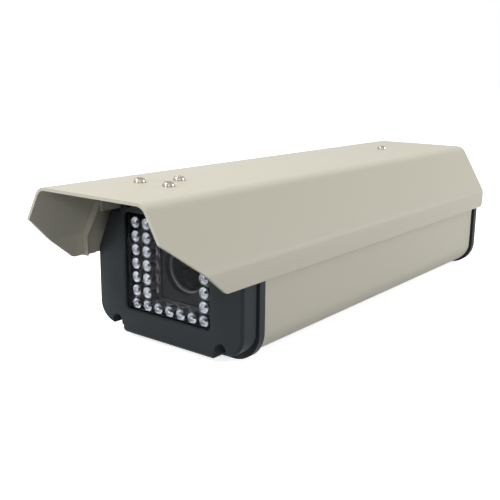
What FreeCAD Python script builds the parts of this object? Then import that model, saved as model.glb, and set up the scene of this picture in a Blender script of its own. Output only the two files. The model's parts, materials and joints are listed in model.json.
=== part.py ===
import FreeCAD, Part
import math
import os

import Sketcher


# Driving sizes in millimetres. X is the width, Y the length with the front at the
# negative end, Z is up from the surface that the rings stand on.

SIZES = {
    # Sunshield
    "hood_length": 400.0,
    "hood_tail": 12.7,
    "hood_gap": 0.4,
    "hood_top_inset": 22.4,
    "hood_slope_drop": 38.0,
    "hood_lip_drop": 14.4,
    "hood_sheet": 2.0,
    "hood_bend": 9.0,
    "hood_cut_drop": 20.4,
    "hood_cut_back": 39.6,
    "hood_corner": 4.0,
    # Body extrusion
    "shell_width": 122.0,
    "shell_floor": 2.0,
    "shell_bend_level": 57.0,
    "shell_shoulder_inset": 12.5,
    "shell_deck_inset": 9.0,
    "shell_deck_rise": 12.0,
    "shell_deck_level": 96.0,
    "shell_wall": 2.4,
    "shell_floor_corner": 17.7,
    "shell_bend": 12.0,
    "shell_shoulder_corner": 7.0,
    "shell_deck_corner": 4.0,
    "keel_width": 40.0,
    "keel_height": 7.0,
    "deck_rib_width": 12.0,
    "deck_rib_height": 6.0,
    "port_radius": 4.4,
    "port_stem": 2.4,
    "low_port_inset": 16.5,
    "low_port_rise": 7.2,
    "high_port_inset": 8.0,
    "high_port_drop": 5.6,
    "rail_reach": 4.0,
    "rail_height": 2.0,
    "rail_gap": 2.8,
    "rail_level": 19.2,
    "tripod_hole": 6.35,
    "tripod_setback": 102.0,
    "tripod_pitch": 40.0,
    # Front ring and bezel
    "face_setback": 58.4,
    "bezel_depth": 13.0,
    "bezel_grow": 0.4,
    "gasket_thick": 1.0,
    "gasket_inset": 1.2,
    "gasket_gap": 0.2,
    "ring_depth": 5.4,
    "ring_grow": 2.0,
    "opening_wall": 9.0,
    "opening_low": 13.2,
    "opening_bend_rise": 1.0,
    "opening_top_inset": 9.5,
    "opening_drop": 2.2,
    "ear_floor": 6.2,
    "ear_corner": 14.0,
    "chin_level": 2.3,
    "chin_corner": 3.0,
    "pocket_radius": 4.4,
    "high_pocket_radius": 4.0,
    "face_chamfer": 1.6,
    "window_inset": 16.0,
    "window_low": 19.3,
    "window_drop": 0.7,
    "window_corner": 3.0,
    "window_lip": 1.4,
    "window_chamfer": 0.8,
    "glass_overlap": 1.6,
    "glass_gap": 0.3,
    "glass_seal_thick": 0.4,
    "glass_thick": 2.5,
    "glass_corner": 3.0,
    "retainer_gap": 3.5,
    "retainer_top_gap": 4.9,
    "retainer_low_lip": 2.9,
    "retainer_high_lip": 1.7,
    "retainer_thick": 1.0,
    # Lamp board
    "lamp_pitch_x": 9.75,
    "lamp_pitch_z": 9.05,
    "lens_level": 48.0,
    "lamp_radius": 4.0,
    "lamp_tip_radius": 2.2,
    "lamp_dome_length": 2.6,
    "lamp_length": 9.8,
    "lamp_gap": 0.3,
    "lamp_board_gap": 1.6,
    "board_thick": 1.6,
    "lens_opening_gap": 1.2,
    "pillar_inset": 8.0,
    "pillar_low": 21.0,
    "pillar_high": 60.0,
    "pillar_radius": 2.7,
    "pillar_stud": 1.5,
    "pillar_stud_length": 4.0,
    "sensor_radius": 2.5,
    "sensor_length": 4.0,
    "sensor_inset": 4.2,
    "sensor_rise": 18.0,
    "lens_ring_radius": 16.6,
    "lens_ring_wall": 1.4,
    "lens_ring_depth": 2.0,
    "lens_ring_setback": 4.0,
    "shroud_margin": 3.0,
    "shroud_sheet": 2.0,
    "shroud_wall": 1.8,
    "shroud_length": 15.0,
    # Screws
    "screw_radius": 2.0,
    "screw_head_radius": 3.6,
    "screw_head_height": 2.6,
    "screw_clearance": 0.25,
    "screw_grip": 14.0,
    "hood_screw_grip": 6.4,
    "drive_width": 1.0,
    "drive_depth": 1.3,
    "drive_length": 4.4,
    "sunk_head_height": 1.1,
    "sunk_depth": 1.2,
    "sunk_grip": 12.0,
    "tap_run_out": 0.4,
    "small_screw_radius": 1.5,
    "small_head_radius": 2.75,
    "small_head_height": 2.0,
    "small_grip": 3.0,
    "nut_across": 7.0,
    "nut_height": 2.4,
    # Sunshield fixings
    "bracket_setback": 45.0,
    "bracket_length": 32.0,
    "bracket_side_gap": 0.5,
    "spacer_height": 5.0,
    "bracket_sheet": 2.0,
    "bracket_bend": 6.5,
    "bracket_seat_gap": 0.3,
    "bracket_leg_gap": 0.6,
    "bracket_web_drop": 6.0,
    "front_screw_x": 12.0,
    "front_screw_setback": 50.5,
    "middle_screw_setback": 72.0,
    "rear_screw_inset": 73.0,
    "bracket_screw_x": 22.0,
    "bracket_screw_setback": 65.0,
    "rear_bracket_width": 66.0,
    "rear_bracket_length": 32.0,
    "rear_bracket_screw_pitch": 20.0,
    "spacer_radius": 5.0,
    "stiffener_setback": 47.0,
    "stiffener_depth": 10.0,
    "stiffener_sheet": 1.2,
    "stiffener_rise": 4.6,
    "stiffener_gap": 0.3,
    "stiffener_top_drop": 15.0,
    # Camera tray
    "tray_setback": 27.0,
    "tray_rear_gap": 32.0,
    "tray_sheet": 2.0,
    "tray_side_gap": 0.4,
    "tray_flange": 5.0,
    "tray_slot_width": 7.0,
    "tray_slot_front": 33.0,
    "tray_slot_inset": 28.0,
    "tray_window_width": 18.0,
    "tray_window_length": 52.0,
    "tray_window_x": 30.0,
    "tray_window_corner": 4.0,
    "tab_side_inset": 8.2,
    "tab_height": 12.0,
    "tab_length": 14.0,
    "tab_rear_inset": 30.0,
    "lock_radius": 2.0,
    "lock_head_radius": 4.5,
    "lock_head_length": 6.0,
    "lock_tip_gap": 0.3,
    "camera_screw_radius": 3.1,
    "camera_screw_head_radius": 7.0,
    "camera_screw_head_height": 5.0,
    "camera_screw_reach": 5.5,
    "camera_screw_place": 75.0,
    # Supply board
    "supply_inset": 13.5,
    "supply_length": 82.0,
    "supply_width": 84.0,
    "supply_gap": 5.0,
    "supply_pillar_x": 15.0,
    "supply_pillar_inset": 6.0,
    "supply_pillar_radius": 3.0,
    "core_length": 30.0,
    "core_depth": 16.0,
    "core_height": 22.0,
    "winding_length": 18.0,
    "winding_depth": 26.0,
    "winding_height": 16.0,
    "winding_corner": 3.0,
    "core_x": -26.0,
    "core_y": 20.0,
    "capacitor_radius": 5.0,
    "capacitor_height": 16.0,
    "capacitor_edge": 0.6,
    "capacitor_x": 8.0,
    "capacitor_y": 12.0,
    "capacitor_pitch": 14.0,
    "sink_width": 26.0,
    "sink_depth": 10.0,
    "sink_height": 18.0,
    "sink_fin": 1.6,
    "sink_fins": 5,
    "sink_x": 28.0,
    "sink_y": 44.0,
    "terminal_ways": 6,
    "terminal_pitch": 6.0,
    "terminal_depth": 9.0,
    "terminal_height": 11.0,
    "terminal_step": 6.8,
    "terminal_well": 1.7,
    "terminal_well_depth": 3.3,
    "terminal_mouth_low": 2.0,
    "terminal_mouth_high": 5.5,
    "terminal_mouth_depth": 3.6,
    "terminal_y": 66.0,
    # Rear cap
    "rear_gasket_thick": 1.5,
    "cap_thick": 7.0,
    "cap_plate": 3.6,
    "cap_panel_depth": 1.2,
    "cap_edge": 1.5,
    "cap_spigot": 4.0,
    "cap_spigot_wall": 2.5,
    "cap_spigot_gap": 0.6,
    "gland_x": 28.0,
    "gland_level": 34.0,
    "gland_thread": 7.5,
    "gland_hole_gap": 0.2,
    "gland_across": 19.0,
    "gland_flange": 5.0,
    "gland_reach_in": 9.0,
    "gland_neck": 6.9,
    "gland_neck_length": 6.0,
    "dome_radius": 9.0,
    "dome_length": 14.0,
    "dome_skirt": 6.3,
    "dome_straight": 8.4,
    "dome_shoulder": 11.9,
    "dome_shoulder_radius": 7.7,
    "dome_tip_radius": 6.1,
    "dome_wall": 1.6,
    "dome_mouth_step": 1.2,
    "seal_radius": 5.2,
    "seal_bore": 3.0,
    "lock_nut_across": 19.0,
    "lock_nut_height": 4.0,
    "plug_head_radius": 9.0,
    "plug_head_height": 4.0,
    "plug_edge": 1.2,
    "plug_slot_length": 12.6,
    "earth_level": 56.0,
    "washer_radius": 4.6,
    "washer_thick": 0.8,
    "earth_grip": 5.0,
}

# Sizes that follow from the driving ones, as formulas of the same sheet.

FOLLOWING = {
    "front_stack": "face_setback + bezel_depth + gasket_thick + ring_depth",
    "shell_length": "hood_length - front_stack - hood_tail",
    "gland_stack": "gland_flange + gland_hole_gap + dome_length",
    "rear_stack": "rear_gasket_thick + cap_thick - cap_panel_depth + gland_stack",
    "overall_length": "front_stack + shell_length + rear_stack",
    "hood_front": "-overall_length / 2",
    "face_front": "hood_front + face_setback",
    "bezel_rear": "face_front + bezel_depth",
    "ring_front": "bezel_rear + gasket_thick",
    "shell_front": "ring_front + ring_depth",
    "shell_rear": "shell_front + shell_length",
    "cap_front": "shell_rear + rear_gasket_thick",
    "cap_rear": "cap_front + cap_thick",
    "shell_shoulder_width": "shell_width - 2 * shell_shoulder_inset",
    "shell_deck_width": "shell_shoulder_width - 2 * shell_deck_inset",
    "shell_shoulder_level": "shell_deck_level - shell_deck_rise",
    "low_port_x": "shell_width / 2 - low_port_inset",
    "low_port_level": "shell_floor + low_port_rise",
    "high_port_x": "shell_deck_width / 2 - high_port_inset",
    "high_port_level": "shell_deck_level - high_port_drop",
    "chin_width": "2 * (low_port_x - pocket_radius)",
    "opening_width": "shell_width - 2 * opening_wall",
    "opening_top_width": "opening_width - 2 * opening_top_inset",
    "opening_bend_level": "shell_bend_level + opening_bend_rise",
    "opening_high": "shell_shoulder_level - opening_drop",
    "hood_width": "shell_width + 2 * (ring_grow + hood_gap + hood_sheet)",
    "hood_top_width": "hood_width - 2 * hood_top_inset",
    "web_underside": "shell_deck_level + spacer_height",
    "hood_underside": "web_underside + bracket_sheet",
    "hood_top_level": "hood_underside + hood_sheet",
    "bracket_width": "hood_top_width - 2 * bracket_side_gap",
    "rear_screw_setback": "hood_length - rear_screw_inset",
    "hood_bend_level": "hood_top_level - hood_slope_drop",
    "hood_lip_level": "hood_bend_level - hood_lip_drop",
    "hood_run": "(hood_width - hood_top_width) / 2",
    "hood_slope": "sqrt(hood_run * hood_run + hood_slope_drop * hood_slope_drop)",
    "shell_run": "(shell_width - shell_shoulder_width) / 2",
    "shell_rise": "shell_shoulder_level - shell_bend_level",
    "shell_slope": "sqrt(shell_run * shell_run + shell_rise * shell_rise)",
    "window_width": "opening_width - 2 * window_inset",
    "window_high": "shell_shoulder_level - window_drop",
    "retainer_width": "opening_width - 2 * retainer_gap",
    "retainer_top_width": "opening_top_width - 2 * retainer_top_gap",
    "retainer_low": "window_low - retainer_low_lip",
    "retainer_high": "window_high + retainer_high_lip",
    "lamp_columns": "floor(window_width / lamp_pitch_x) + 1",
    "lamp_rows": "floor((window_high - window_low) / lamp_pitch_z)",
    "pillar_x": "opening_width / 2 - pillar_inset",
    "glass_width": "window_width + 2 * glass_overlap",
    "glass_low": "window_low - glass_overlap",
    "glass_high": "window_high + glass_overlap",
    "seal_front": "face_front + window_lip",
    "glass_front": "seal_front + glass_seal_thick",
    "glass_rear": "glass_front + glass_thick",
    "retainer_rear": "glass_rear + retainer_thick",
    "lamp_tip": "retainer_rear + lamp_gap",
    "board_front": "lamp_tip + lamp_length",
    "board_rear": "board_front + board_thick",
    "tray_under": "rail_level + rail_height + (rail_gap - tray_sheet) / 2",
    "tray_top": "tray_under + tray_sheet",
    "tray_half_width": "shell_width / 2 - shell_wall - tray_side_gap",
    "tray_front": "shell_front + tray_setback",
    "keel_top": "shell_floor + keel_height",
    "supply_front": "shell_rear - supply_inset - supply_length",
    "tray_length": "supply_front - tray_front - tray_rear_gap",
    "tray_slot_rear": "tray_length - tray_slot_inset",
    "tab_start": "tray_length - tab_rear_inset",
    "tab_x": "tray_half_width - tab_side_inset",
    "supply_under": "keel_top + supply_gap",
    "supply_top": "supply_under + board_thick",
}


class Size:
    """A length that knows its value and the sheet formula that gives it."""

    def __init__(self, value, formula):
        self.value = float(value)
        self.formula = formula

    def joined(self, other, sign, value):
        return Size(value, "(%s %s %s)" % (self.formula, sign, as_size(other).formula))

    def __add__(self, other):
        return self.joined(other, "+", self.value + as_size(other).value)

    def __sub__(self, other):
        return self.joined(other, "-", self.value - as_size(other).value)

    def __mul__(self, other):
        return self.joined(other, "*", self.value * as_size(other).value)

    def __truediv__(self, other):
        return self.joined(other, "/", self.value / as_size(other).value)

    def __radd__(self, other):
        return as_size(other) + self

    def __rsub__(self, other):
        return as_size(other) - self

    def __rmul__(self, other):
        return as_size(other) * self

    def __neg__(self):
        return Size(-self.value, "(-1 * %s)" % self.formula)


def as_size(value):
    if isinstance(value, Size):
        return value
    return Size(value, repr(float(value)))


doc = FreeCAD.newDocument("camera_housing")
sheet = doc.addObject("Spreadsheet::Sheet", "Sizes")


def fill_sheet():
    """Write the driving sizes as plain numbers and the others as formulas."""
    cells = list(SIZES.items()) + [(name, "=" + text) for name, text in FOLLOWING.items()]
    for row, (name, content) in enumerate(cells, 1):
        sheet.set("A%d" % row, name)
        sheet.set("B%d" % row, str(content))
        sheet.setAlias("B%d" % row, name)
    doc.recompute()


class Sheet:
    """Named access to the sheet: cell.hood_length is a Size."""

    def __getattr__(self, name):
        return Size(getattr(sheet, name), "Sizes." + name)


cell = Sheet()
nodes = []

# How far a cut starts outside the material, and a pan head's crown and rim as shares
# of its radius and height.
CLEAR = 1.0
PAN_CROWN = 0.62
PAN_RIM = 0.45


# Helpers for sketches and features

PLANE_ROLES = {"front": "XZ_Plane", "side": "YZ_Plane", "top": "XY_Plane"}


def bind(thing, path, size):
    thing.setExpression(path, as_size(size).formula)


def new_body(name, kept=True):
    body = doc.addObject("PartDesign::Body", name)
    body.Label = name
    if kept:
        nodes.append(body)
    return body


def place(thing, x=0, y=0, z=0):
    """Give a piece its place, tied to the sheet."""
    base = [as_size(value) for value in (x, y, z)]
    thing.Placement = FreeCAD.Placement(FreeCAD.Vector(*[s.value for s in base]), FreeCAD.Rotation())
    for axis, size in zip("xyz", base):
        bind(thing, ".Placement.Base." + axis, size)
    return thing


def new_sketch(body, plane, depth=0):
    """A sketch on one of the body's own planes, moved along Y, X or Z by depth."""
    sketch = body.newObject("Sketcher::SketchObject", body.Name + "_sketch")
    features = body.Origin.OriginFeatures
    support = [item for item in features if item.Role == PLANE_ROLES[plane]][0]
    sketch.AttachmentSupport = (support, [""])
    sketch.MapMode = "FlatFace"
    shift = as_size(depth)
    if plane == "front":
        shift = -shift
    sketch.AttachmentOffset = FreeCAD.Placement(FreeCAD.Vector(0, 0, shift.value), FreeCAD.Rotation())
    bind(sketch, ".AttachmentOffset.Base.z", shift)
    return sketch


def pin_point(sketch, geometry, end, point):
    """Tie one sketch point to the sheet."""
    for kind, size in zip(("DistanceX", "DistanceY"), point):
        size = as_size(size)
        index = sketch.addConstraint(Sketcher.Constraint(kind, -1, 1, geometry, end, size.value))
        bind(sketch, "Constraints[%d]" % index, size)


def draw_outline(sketch, corners):
    """Add a closed outline of straight sides with every corner tied to the sheet."""
    first = sketch.GeometryCount
    count = len(corners)
    points = [FreeCAD.Vector(as_size(u).value, as_size(v).value, 0) for u, v in corners]
    for index in range(count):
        following = points[(index + 1) % count]
        sketch.addGeometry(Part.LineSegment(points[index], following), False)
    for index in range(count):
        after = first + (index + 1) % count
        sketch.addConstraint(Sketcher.Constraint("Coincident", first + index, 2, after, 1))
    for index, corner in enumerate(corners):
        pin_point(sketch, first + index, 1, corner)


def draw_circle(sketch, centre, radius):
    radius = as_size(radius)
    middle = FreeCAD.Vector(as_size(centre[0]).value, as_size(centre[1]).value, 0)
    circle = Part.Circle(middle, FreeCAD.Vector(0, 0, 1), radius.value)
    geometry = sketch.addGeometry(circle, False)
    pin_point(sketch, geometry, 3, centre)
    index = sketch.addConstraint(Sketcher.Constraint("Radius", geometry, radius.value))
    bind(sketch, "Constraints[%d]" % index, radius)


def box_corners(left, right, low, high):
    return [(left, low), (right, low), (right, high), (left, high)]


def centred_box(width, low, high):
    return box_corners(-width / 2, width / 2, low, high)


def outline_sketch(body, plane, outlines, depth=0):
    sketch = new_sketch(body, plane, depth)
    for corners in outlines:
        draw_outline(sketch, corners)
    return sketch


def circle_sketch(body, plane, circles, depth=0):
    """circles is a list of ((u, v), radius)."""
    sketch = new_sketch(body, plane, depth)
    for centre, radius in circles:
        draw_circle(sketch, centre, radius)
    return sketch


def finish_feature(body, feature):
    doc.recompute()
    if "Invalid" in feature.State or feature.Shape.isNull():
        raise ValueError(feature.Name + " failed: " + feature.getStatusString())
    body.Tip = feature
    return feature


def pad(body, sketch, length, reverse=False, both=False):
    """Grow material from a sketch; a front sketch grows towards the rear."""
    feature = body.newObject("PartDesign::Pad", body.Name + "_pad")
    feature.Profile = sketch
    feature.Length = as_size(length).value
    bind(feature, "Length", length)
    feature.Reversed = reverse
    feature.SideType = "Symmetric" if both else "One side"
    return finish_feature(body, feature)


def pocket(body, sketch, length, reverse=False, both=False):
    """Cut from a sketch and make sure that material went."""
    before = body.Tip.Shape.Volume
    feature = body.newObject("PartDesign::Pocket", body.Name + "_pocket")
    feature.Profile = sketch
    feature.Length = as_size(length).value
    bind(feature, "Length", length)
    feature.Reversed = reverse
    feature.SideType = "Symmetric" if both else "One side"
    finish_feature(body, feature)
    if feature.Shape.Volume > before - 1e-6:
        raise ValueError(body.Name + ": a pocket cut nothing")
    return feature


def revolve(body, sketch, axis):
    feature = body.newObject("PartDesign::Revolution", body.Name + "_turned")
    feature.Profile = sketch
    feature.ReferenceAxis = (sketch, [axis])
    feature.Angle = 360.0
    return finish_feature(body, feature)


def edges_where(feature, test):
    names = []
    for number, edge in enumerate(feature.Shape.Edges, 1):
        if test(edge):
            names.append("Edge%d" % number)
    return names


def faces_where(feature, test):
    names = []
    for number, face in enumerate(feature.Shape.Faces, 1):
        if test(face):
            names.append("Face%d" % number)
    return names


def along(axis):
    """Test for straight edges along one axis."""
    def test(edge):
        if not isinstance(edge.Curve, Part.Line):
            return False
        return abs(abs(getattr(edge.tangentAt(edge.FirstParameter), axis)) - 1) < 1e-6
    return test


def near(points, axis="y", reach=0.2):
    """Test for edges along an axis whose other two coordinates match one of the points."""
    runs = along(axis)
    others = [name for name in "xyz" if name != axis]
    wanted = [(as_size(u).value, as_size(v).value) for u, v in points]

    def test(edge):
        if not runs(edge):
            return False
        at = edge.Vertexes[0].Point
        place_found = (getattr(at, others[0]), getattr(at, others[1]))
        return any(math.dist(place_found, spot) < reach for spot in wanted)
    return test


def fillet(body, edges, radius):
    base = body.Tip
    feature = body.newObject("PartDesign::Fillet", body.Name + "_fillet")
    feature.Base = (base, edges)
    feature.Radius = as_size(radius).value
    bind(feature, "Radius", radius)
    return finish_feature(body, feature)


def chamfer(body, edges, width):
    base = body.Tip
    feature = body.newObject("PartDesign::Chamfer", body.Name + "_chamfer")
    feature.Base = (base, edges)
    feature.Size = as_size(width).value
    bind(feature, "Size", width)
    return finish_feature(body, feature)


def hollow(body, faces, wall):
    """Turn a solid into a wall that is open at the given faces."""
    base = body.Tip
    feature = body.newObject("PartDesign::Thickness", body.Name + "_hollow")
    feature.Base = (base, faces)
    feature.Value = as_size(wall).value
    bind(feature, "Value", wall)
    feature.Reversed = True
    feature.Join = 1
    return finish_feature(body, feature)


def faces_towards(body, x=0, y=0, z=0):
    way = FreeCAD.Vector(x, y, z)

    def test(face):
        return isinstance(face.Surface, Part.Plane) and face.normalAt(0, 0).dot(way) > 0.999
    return faces_where(body.Tip, test)


def both_sides(points):
    """The points and their mirror images in the plane X = 0."""
    return list(points) + [(-u, v) for u, v in points]


def mirrored_outline(right_half):
    """Close a half outline, given from bottom to top, with its mirror image."""
    return list(right_half) + [(-u, v) for u, v in reversed(right_half)]


def group(name, master, spots):
    """One node made of the same piece at several spots, each (x, y, z)."""
    links = []
    for number, spot in enumerate(spots, 1):
        link = doc.addObject("App::Link", "%s_%d" % (name, number))
        link.LinkedObject = master
        links.append(place(link, *spot))
    node = doc.addObject("Part::Compound", name)
    node.Label = name
    node.Links = links
    nodes.append(node)
    return node


# Sections shared by several pieces

def hood_right(inset):
    """Right half of the sunshield's section, moved inwards by inset."""
    side = cell.hood_width / 2 - inset
    bend = cell.hood_bend_level - inset * (cell.hood_slope - cell.hood_slope_drop) / cell.hood_run
    top_x = cell.hood_top_width / 2 - inset * (cell.hood_slope - cell.hood_run) / cell.hood_slope_drop
    return [(side, cell.hood_lip_level), (side, bend), (top_x, cell.hood_top_level - inset)]


def shell_right(grow, floor=None, deck=None):
    """Right half of the housing's section, moved outwards by grow."""
    floor = cell.shell_floor - grow if floor is None else floor
    deck = cell.shell_deck_level + grow if deck is None else deck
    side = cell.shell_width / 2 + grow
    bend = cell.shell_bend_level + grow * (cell.shell_slope - cell.shell_rise) / cell.shell_run
    shoulder = cell.shell_shoulder_level + grow
    shoulder_x = cell.shell_shoulder_width / 2 + grow * (cell.shell_slope - cell.shell_run) / cell.shell_rise
    deck_x = cell.shell_deck_width / 2 + grow
    return [(side, floor), (side, bend), (shoulder_x, shoulder), (deck_x, shoulder), (deck_x, deck)]


def round_shell(body, grow, floor=None, deck=None):
    """Round the long edges of a solid with the housing's section."""
    corners = shell_right(grow, floor, deck)
    radii = [cell.shell_floor_corner + grow, cell.shell_bend, cell.shell_shoulder_corner, None,
             cell.shell_deck_corner]
    for corner, radius in zip(corners, radii):
        if radius is not None:
            fillet(body, edges_where(body.Tip, near(both_sides([corner]))), radius)


def shell_solid(body, grow, length):
    pad(body, outline_sketch(body, "front", [mirrored_outline(shell_right(grow))]), length, reverse=True)
    round_shell(body, grow)


def port_spots():
    low = both_sides([(cell.low_port_x, cell.low_port_level)])
    high = both_sides([(cell.high_port_x, cell.high_port_level)])
    return low + high


def opening_right(inset=0):
    """Right half of the opening in the ring, the gaskets and the rear cap."""
    side = cell.opening_width / 2 - inset
    return [(side, cell.opening_low + inset), (side, cell.opening_bend_level),
            (cell.opening_top_width / 2 - inset, cell.opening_high - inset)]


def retainer_right(grow=0):
    side = cell.retainer_width / 2 + grow
    return [(side, cell.retainer_low - grow), (side, cell.opening_bend_level),
            (cell.retainer_top_width / 2 + grow, cell.retainer_high + grow)]


# Sunshield and its fixings

def hood_screw_spots():
    """X and setback from the sunshield's front edge of the four screws on top."""
    return [
        (-cell.front_screw_x, cell.front_screw_setback),
        (cell.front_screw_x, cell.front_screw_setback),
        (0, cell.middle_screw_setback),
        (0, cell.rear_screw_setback),
    ]


def make_sunshield():
    body = new_body("sunshield")
    place(body, y=cell.hood_front)
    sketch = outline_sketch(body, "front", [mirrored_outline(hood_right(0))])
    pad(body, sketch, cell.hood_length, reverse=True)
    bends = both_sides(hood_right(0)[1:])
    fillet(body, edges_where(body.Tip, near(bends)), cell.hood_bend)
    open_faces = faces_towards(body, y=-1) + faces_towards(body, y=1) + faces_towards(body, z=-1)
    hollow(body, open_faces, cell.hood_sheet)
    cut = [
        (-CLEAR, cell.hood_top_level - cell.hood_cut_drop),
        (0, cell.hood_top_level - cell.hood_cut_drop),
        (cell.hood_cut_back, cell.hood_lip_level),
        (cell.hood_cut_back, cell.hood_lip_level - CLEAR),
        (-CLEAR, cell.hood_lip_level - CLEAR),
    ]
    pocket(body, outline_sketch(body, "side", [cut]), cell.hood_width + 2 * CLEAR, both=True)
    lip_ends = [(cell.hood_cut_back, cell.hood_lip_level), (cell.hood_length, cell.hood_lip_level)]
    fillet(body, edges_where(body.Tip, near(lip_ends, axis="x")), cell.hood_corner)
    hole = cell.screw_radius + cell.screw_clearance
    holes = [(spot, hole) for spot in hood_screw_spots()]
    sketch = circle_sketch(body, "top", holes, cell.hood_top_level + CLEAR)
    pocket(body, sketch, cell.hood_sheet + 2 * CLEAR)


def channel(name, width, length, leg_level, y):
    """A folded channel with its web against the sunshield and its legs down."""
    body = new_body(name)
    place(body, y=y)
    outline = centred_box(width, leg_level, cell.hood_underside)
    pad(body, outline_sketch(body, "front", [outline]), length, reverse=True)
    top_edges = both_sides([(width / 2, cell.hood_underside)])
    fillet(body, edges_where(body.Tip, near(top_edges)), cell.bracket_bend)
    open_faces = faces_towards(body, y=-1) + faces_towards(body, y=1) + faces_towards(body, z=-1)
    hollow(body, open_faces, cell.bracket_sheet)
    return body


def web_holes(body, spots):
    """Screw holes through a channel's web."""
    hole = cell.screw_radius + cell.screw_clearance
    sketch = circle_sketch(body, "top", [(spot, hole) for spot in spots], cell.hood_underside + CLEAR)
    pocket(body, sketch, cell.bracket_sheet + 2 * CLEAR)


def sink_holes(body, spots):
    """Stepped holes in a channel's web, for screws whose heads lie flush."""
    web_holes(body, spots)
    seat = cell.screw_head_radius + cell.screw_clearance
    sketch = circle_sketch(body, "top", [(spot, seat) for spot in spots], cell.hood_underside + CLEAR)
    pocket(body, sketch, cell.sunk_depth + CLEAR)


def make_front_bracket():
    seat = cell.shell_shoulder_level + cell.bezel_grow + cell.bracket_seat_gap
    front = cell.hood_front + cell.bracket_setback
    body = channel("sunshield_front_bracket", cell.bracket_width, cell.bracket_length, seat, front)
    leg_end = cell.bezel_rear - front - cell.bracket_leg_gap
    step = box_corners(leg_end, cell.bracket_length + CLEAR, seat - CLEAR,
                       cell.hood_underside - cell.bracket_web_drop)
    pocket(body, outline_sketch(body, "side", [step]), cell.bracket_width + 2 * CLEAR, both=True)
    web_holes(body, [(x, setback - cell.bracket_setback) for x, setback in hood_screw_spots()[:3]])
    sink_holes(body, both_sides([(cell.bracket_screw_x, cell.bracket_screw_setback - cell.bracket_setback)]))


def make_rear_bracket():
    seat = cell.shell_deck_level + cell.bracket_seat_gap
    middle = cell.rear_bracket_length / 2
    front = cell.hood_front + cell.rear_screw_setback - middle
    body = channel("sunshield_rear_bracket", cell.rear_bracket_width, cell.rear_bracket_length, seat, front)
    web_holes(body, [(0, middle)])
    half_pitch = cell.rear_bracket_screw_pitch / 2
    sink_holes(body, [(0, middle - half_pitch), (0, middle + half_pitch)])


def bracket_screw_spots():
    """X and Y of the flush screws that hold the two brackets down."""
    front_y = cell.hood_front + cell.bracket_screw_setback
    rear_y = cell.hood_front + cell.rear_screw_setback
    half_pitch = cell.rear_bracket_screw_pitch / 2
    return [
        (-cell.bracket_screw_x, front_y),
        (cell.bracket_screw_x, front_y),
        (0, rear_y - half_pitch),
        (0, rear_y + half_pitch),
    ]


def hood_slope_x(inset, level):
    """X of the right-hand slope, moved inwards by inset, at a level."""
    lean = cell.hood_run / cell.hood_slope_drop
    outer = cell.hood_width / 2 - lean * (level - cell.hood_bend_level)
    return outer - inset * cell.hood_slope / cell.hood_slope_drop


def stiffener_outline(side, rise):
    """The strip between two insets of the sunshield's slope and lip, on one side."""
    near_inset = cell.hood_sheet + cell.stiffener_gap
    far_inset = near_inset + rise
    top = cell.hood_top_level - cell.stiffener_top_drop
    outer = hood_right(near_inset)[:2] + [(hood_slope_x(near_inset, top), top)]
    inner = hood_right(far_inset)[:2] + [(hood_slope_x(far_inset, top), top)]
    return [(side * u, v) for u, v in outer + list(reversed(inner))]


def make_stiffener(name, side):
    body = new_body(name)
    place(body, y=cell.hood_front + cell.stiffener_setback)
    sketch = outline_sketch(body, "front", [stiffener_outline(side, cell.stiffener_sheet)])
    pad(body, sketch, cell.stiffener_depth, reverse=True)
    sketch = outline_sketch(body, "front", [stiffener_outline(side, cell.stiffener_rise)])
    pad(body, sketch, cell.stiffener_sheet, reverse=True)


# Body extrusion

def make_body():
    body = new_body("body")
    place(body, y=cell.shell_front)
    shell_solid(body, 0, cell.shell_length)
    hollow(body, faces_towards(body, y=-1) + faces_towards(body, y=1), cell.shell_wall)
    keel = centred_box(cell.keel_width, cell.shell_floor, cell.keel_top)
    pad(body, outline_sketch(body, "front", [keel]), cell.shell_length, reverse=True)
    rib_low = cell.shell_deck_level - cell.deck_rib_height
    rib = centred_box(cell.deck_rib_width, rib_low, cell.shell_deck_level)
    pad(body, outline_sketch(body, "front", [rib]), cell.shell_length, reverse=True)
    wall_middle = cell.shell_width / 2 - cell.shell_wall / 2
    rail_edge = cell.shell_width / 2 - cell.shell_wall - cell.rail_reach
    for level in (cell.rail_level, cell.rail_level + cell.rail_height + cell.rail_gap):
        right = box_corners(rail_edge, wall_middle, level, level + cell.rail_height)
        left = [(-u, v) for u, v in right]
        pad(body, outline_sketch(body, "front", [right, left]), cell.shell_length, reverse=True)
    stems = []
    for x, level in port_spots()[:2]:
        left = x - cell.port_stem / 2
        stems.append(box_corners(left, left + cell.port_stem, cell.shell_floor + cell.shell_wall / 2, level))
    pad(body, outline_sketch(body, "front", stems), cell.shell_length, reverse=True)
    bosses = [(spot, cell.port_radius) for spot in port_spots()]
    pad(body, circle_sketch(body, "front", bosses), cell.shell_length, reverse=True)
    bores = [(spot, cell.screw_radius) for spot in port_spots()]
    pocket(body, circle_sketch(body, "front", bores), cell.shell_length)
    tripod = [((0, y), cell.tripod_hole / 2) for y in tripod_spots()]
    pocket(body, circle_sketch(body, "top", tripod, cell.keel_top + CLEAR), cell.keel_height + 2 * CLEAR)
    rear_spots = [(x, y - cell.shell_front) for x, y in bracket_screw_spots()[2:]]
    taps = [(spot, cell.screw_radius) for spot in rear_spots]
    sketch = circle_sketch(body, "top", taps, cell.shell_deck_level + CLEAR)
    pocket(body, sketch, cell.deck_rib_height + 2 * CLEAR)


def tripod_spots():
    """Setbacks of the three tapped holes in the keel from the body's front."""
    return [cell.tripod_setback + cell.tripod_pitch * number for number in range(3)]


# Front ring, bezel, glass

def make_front_ring():
    body = new_body("front_ring")
    place(body, y=cell.ring_front)
    shell_solid(body, cell.ring_grow, cell.ring_depth)
    pocket(body, outline_sketch(body, "front", [mirrored_outline(opening_right())]), cell.ring_depth)
    holes = [(spot, cell.screw_radius + cell.screw_clearance) for spot in port_spots()]
    pocket(body, circle_sketch(body, "front", holes), cell.ring_depth)


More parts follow.
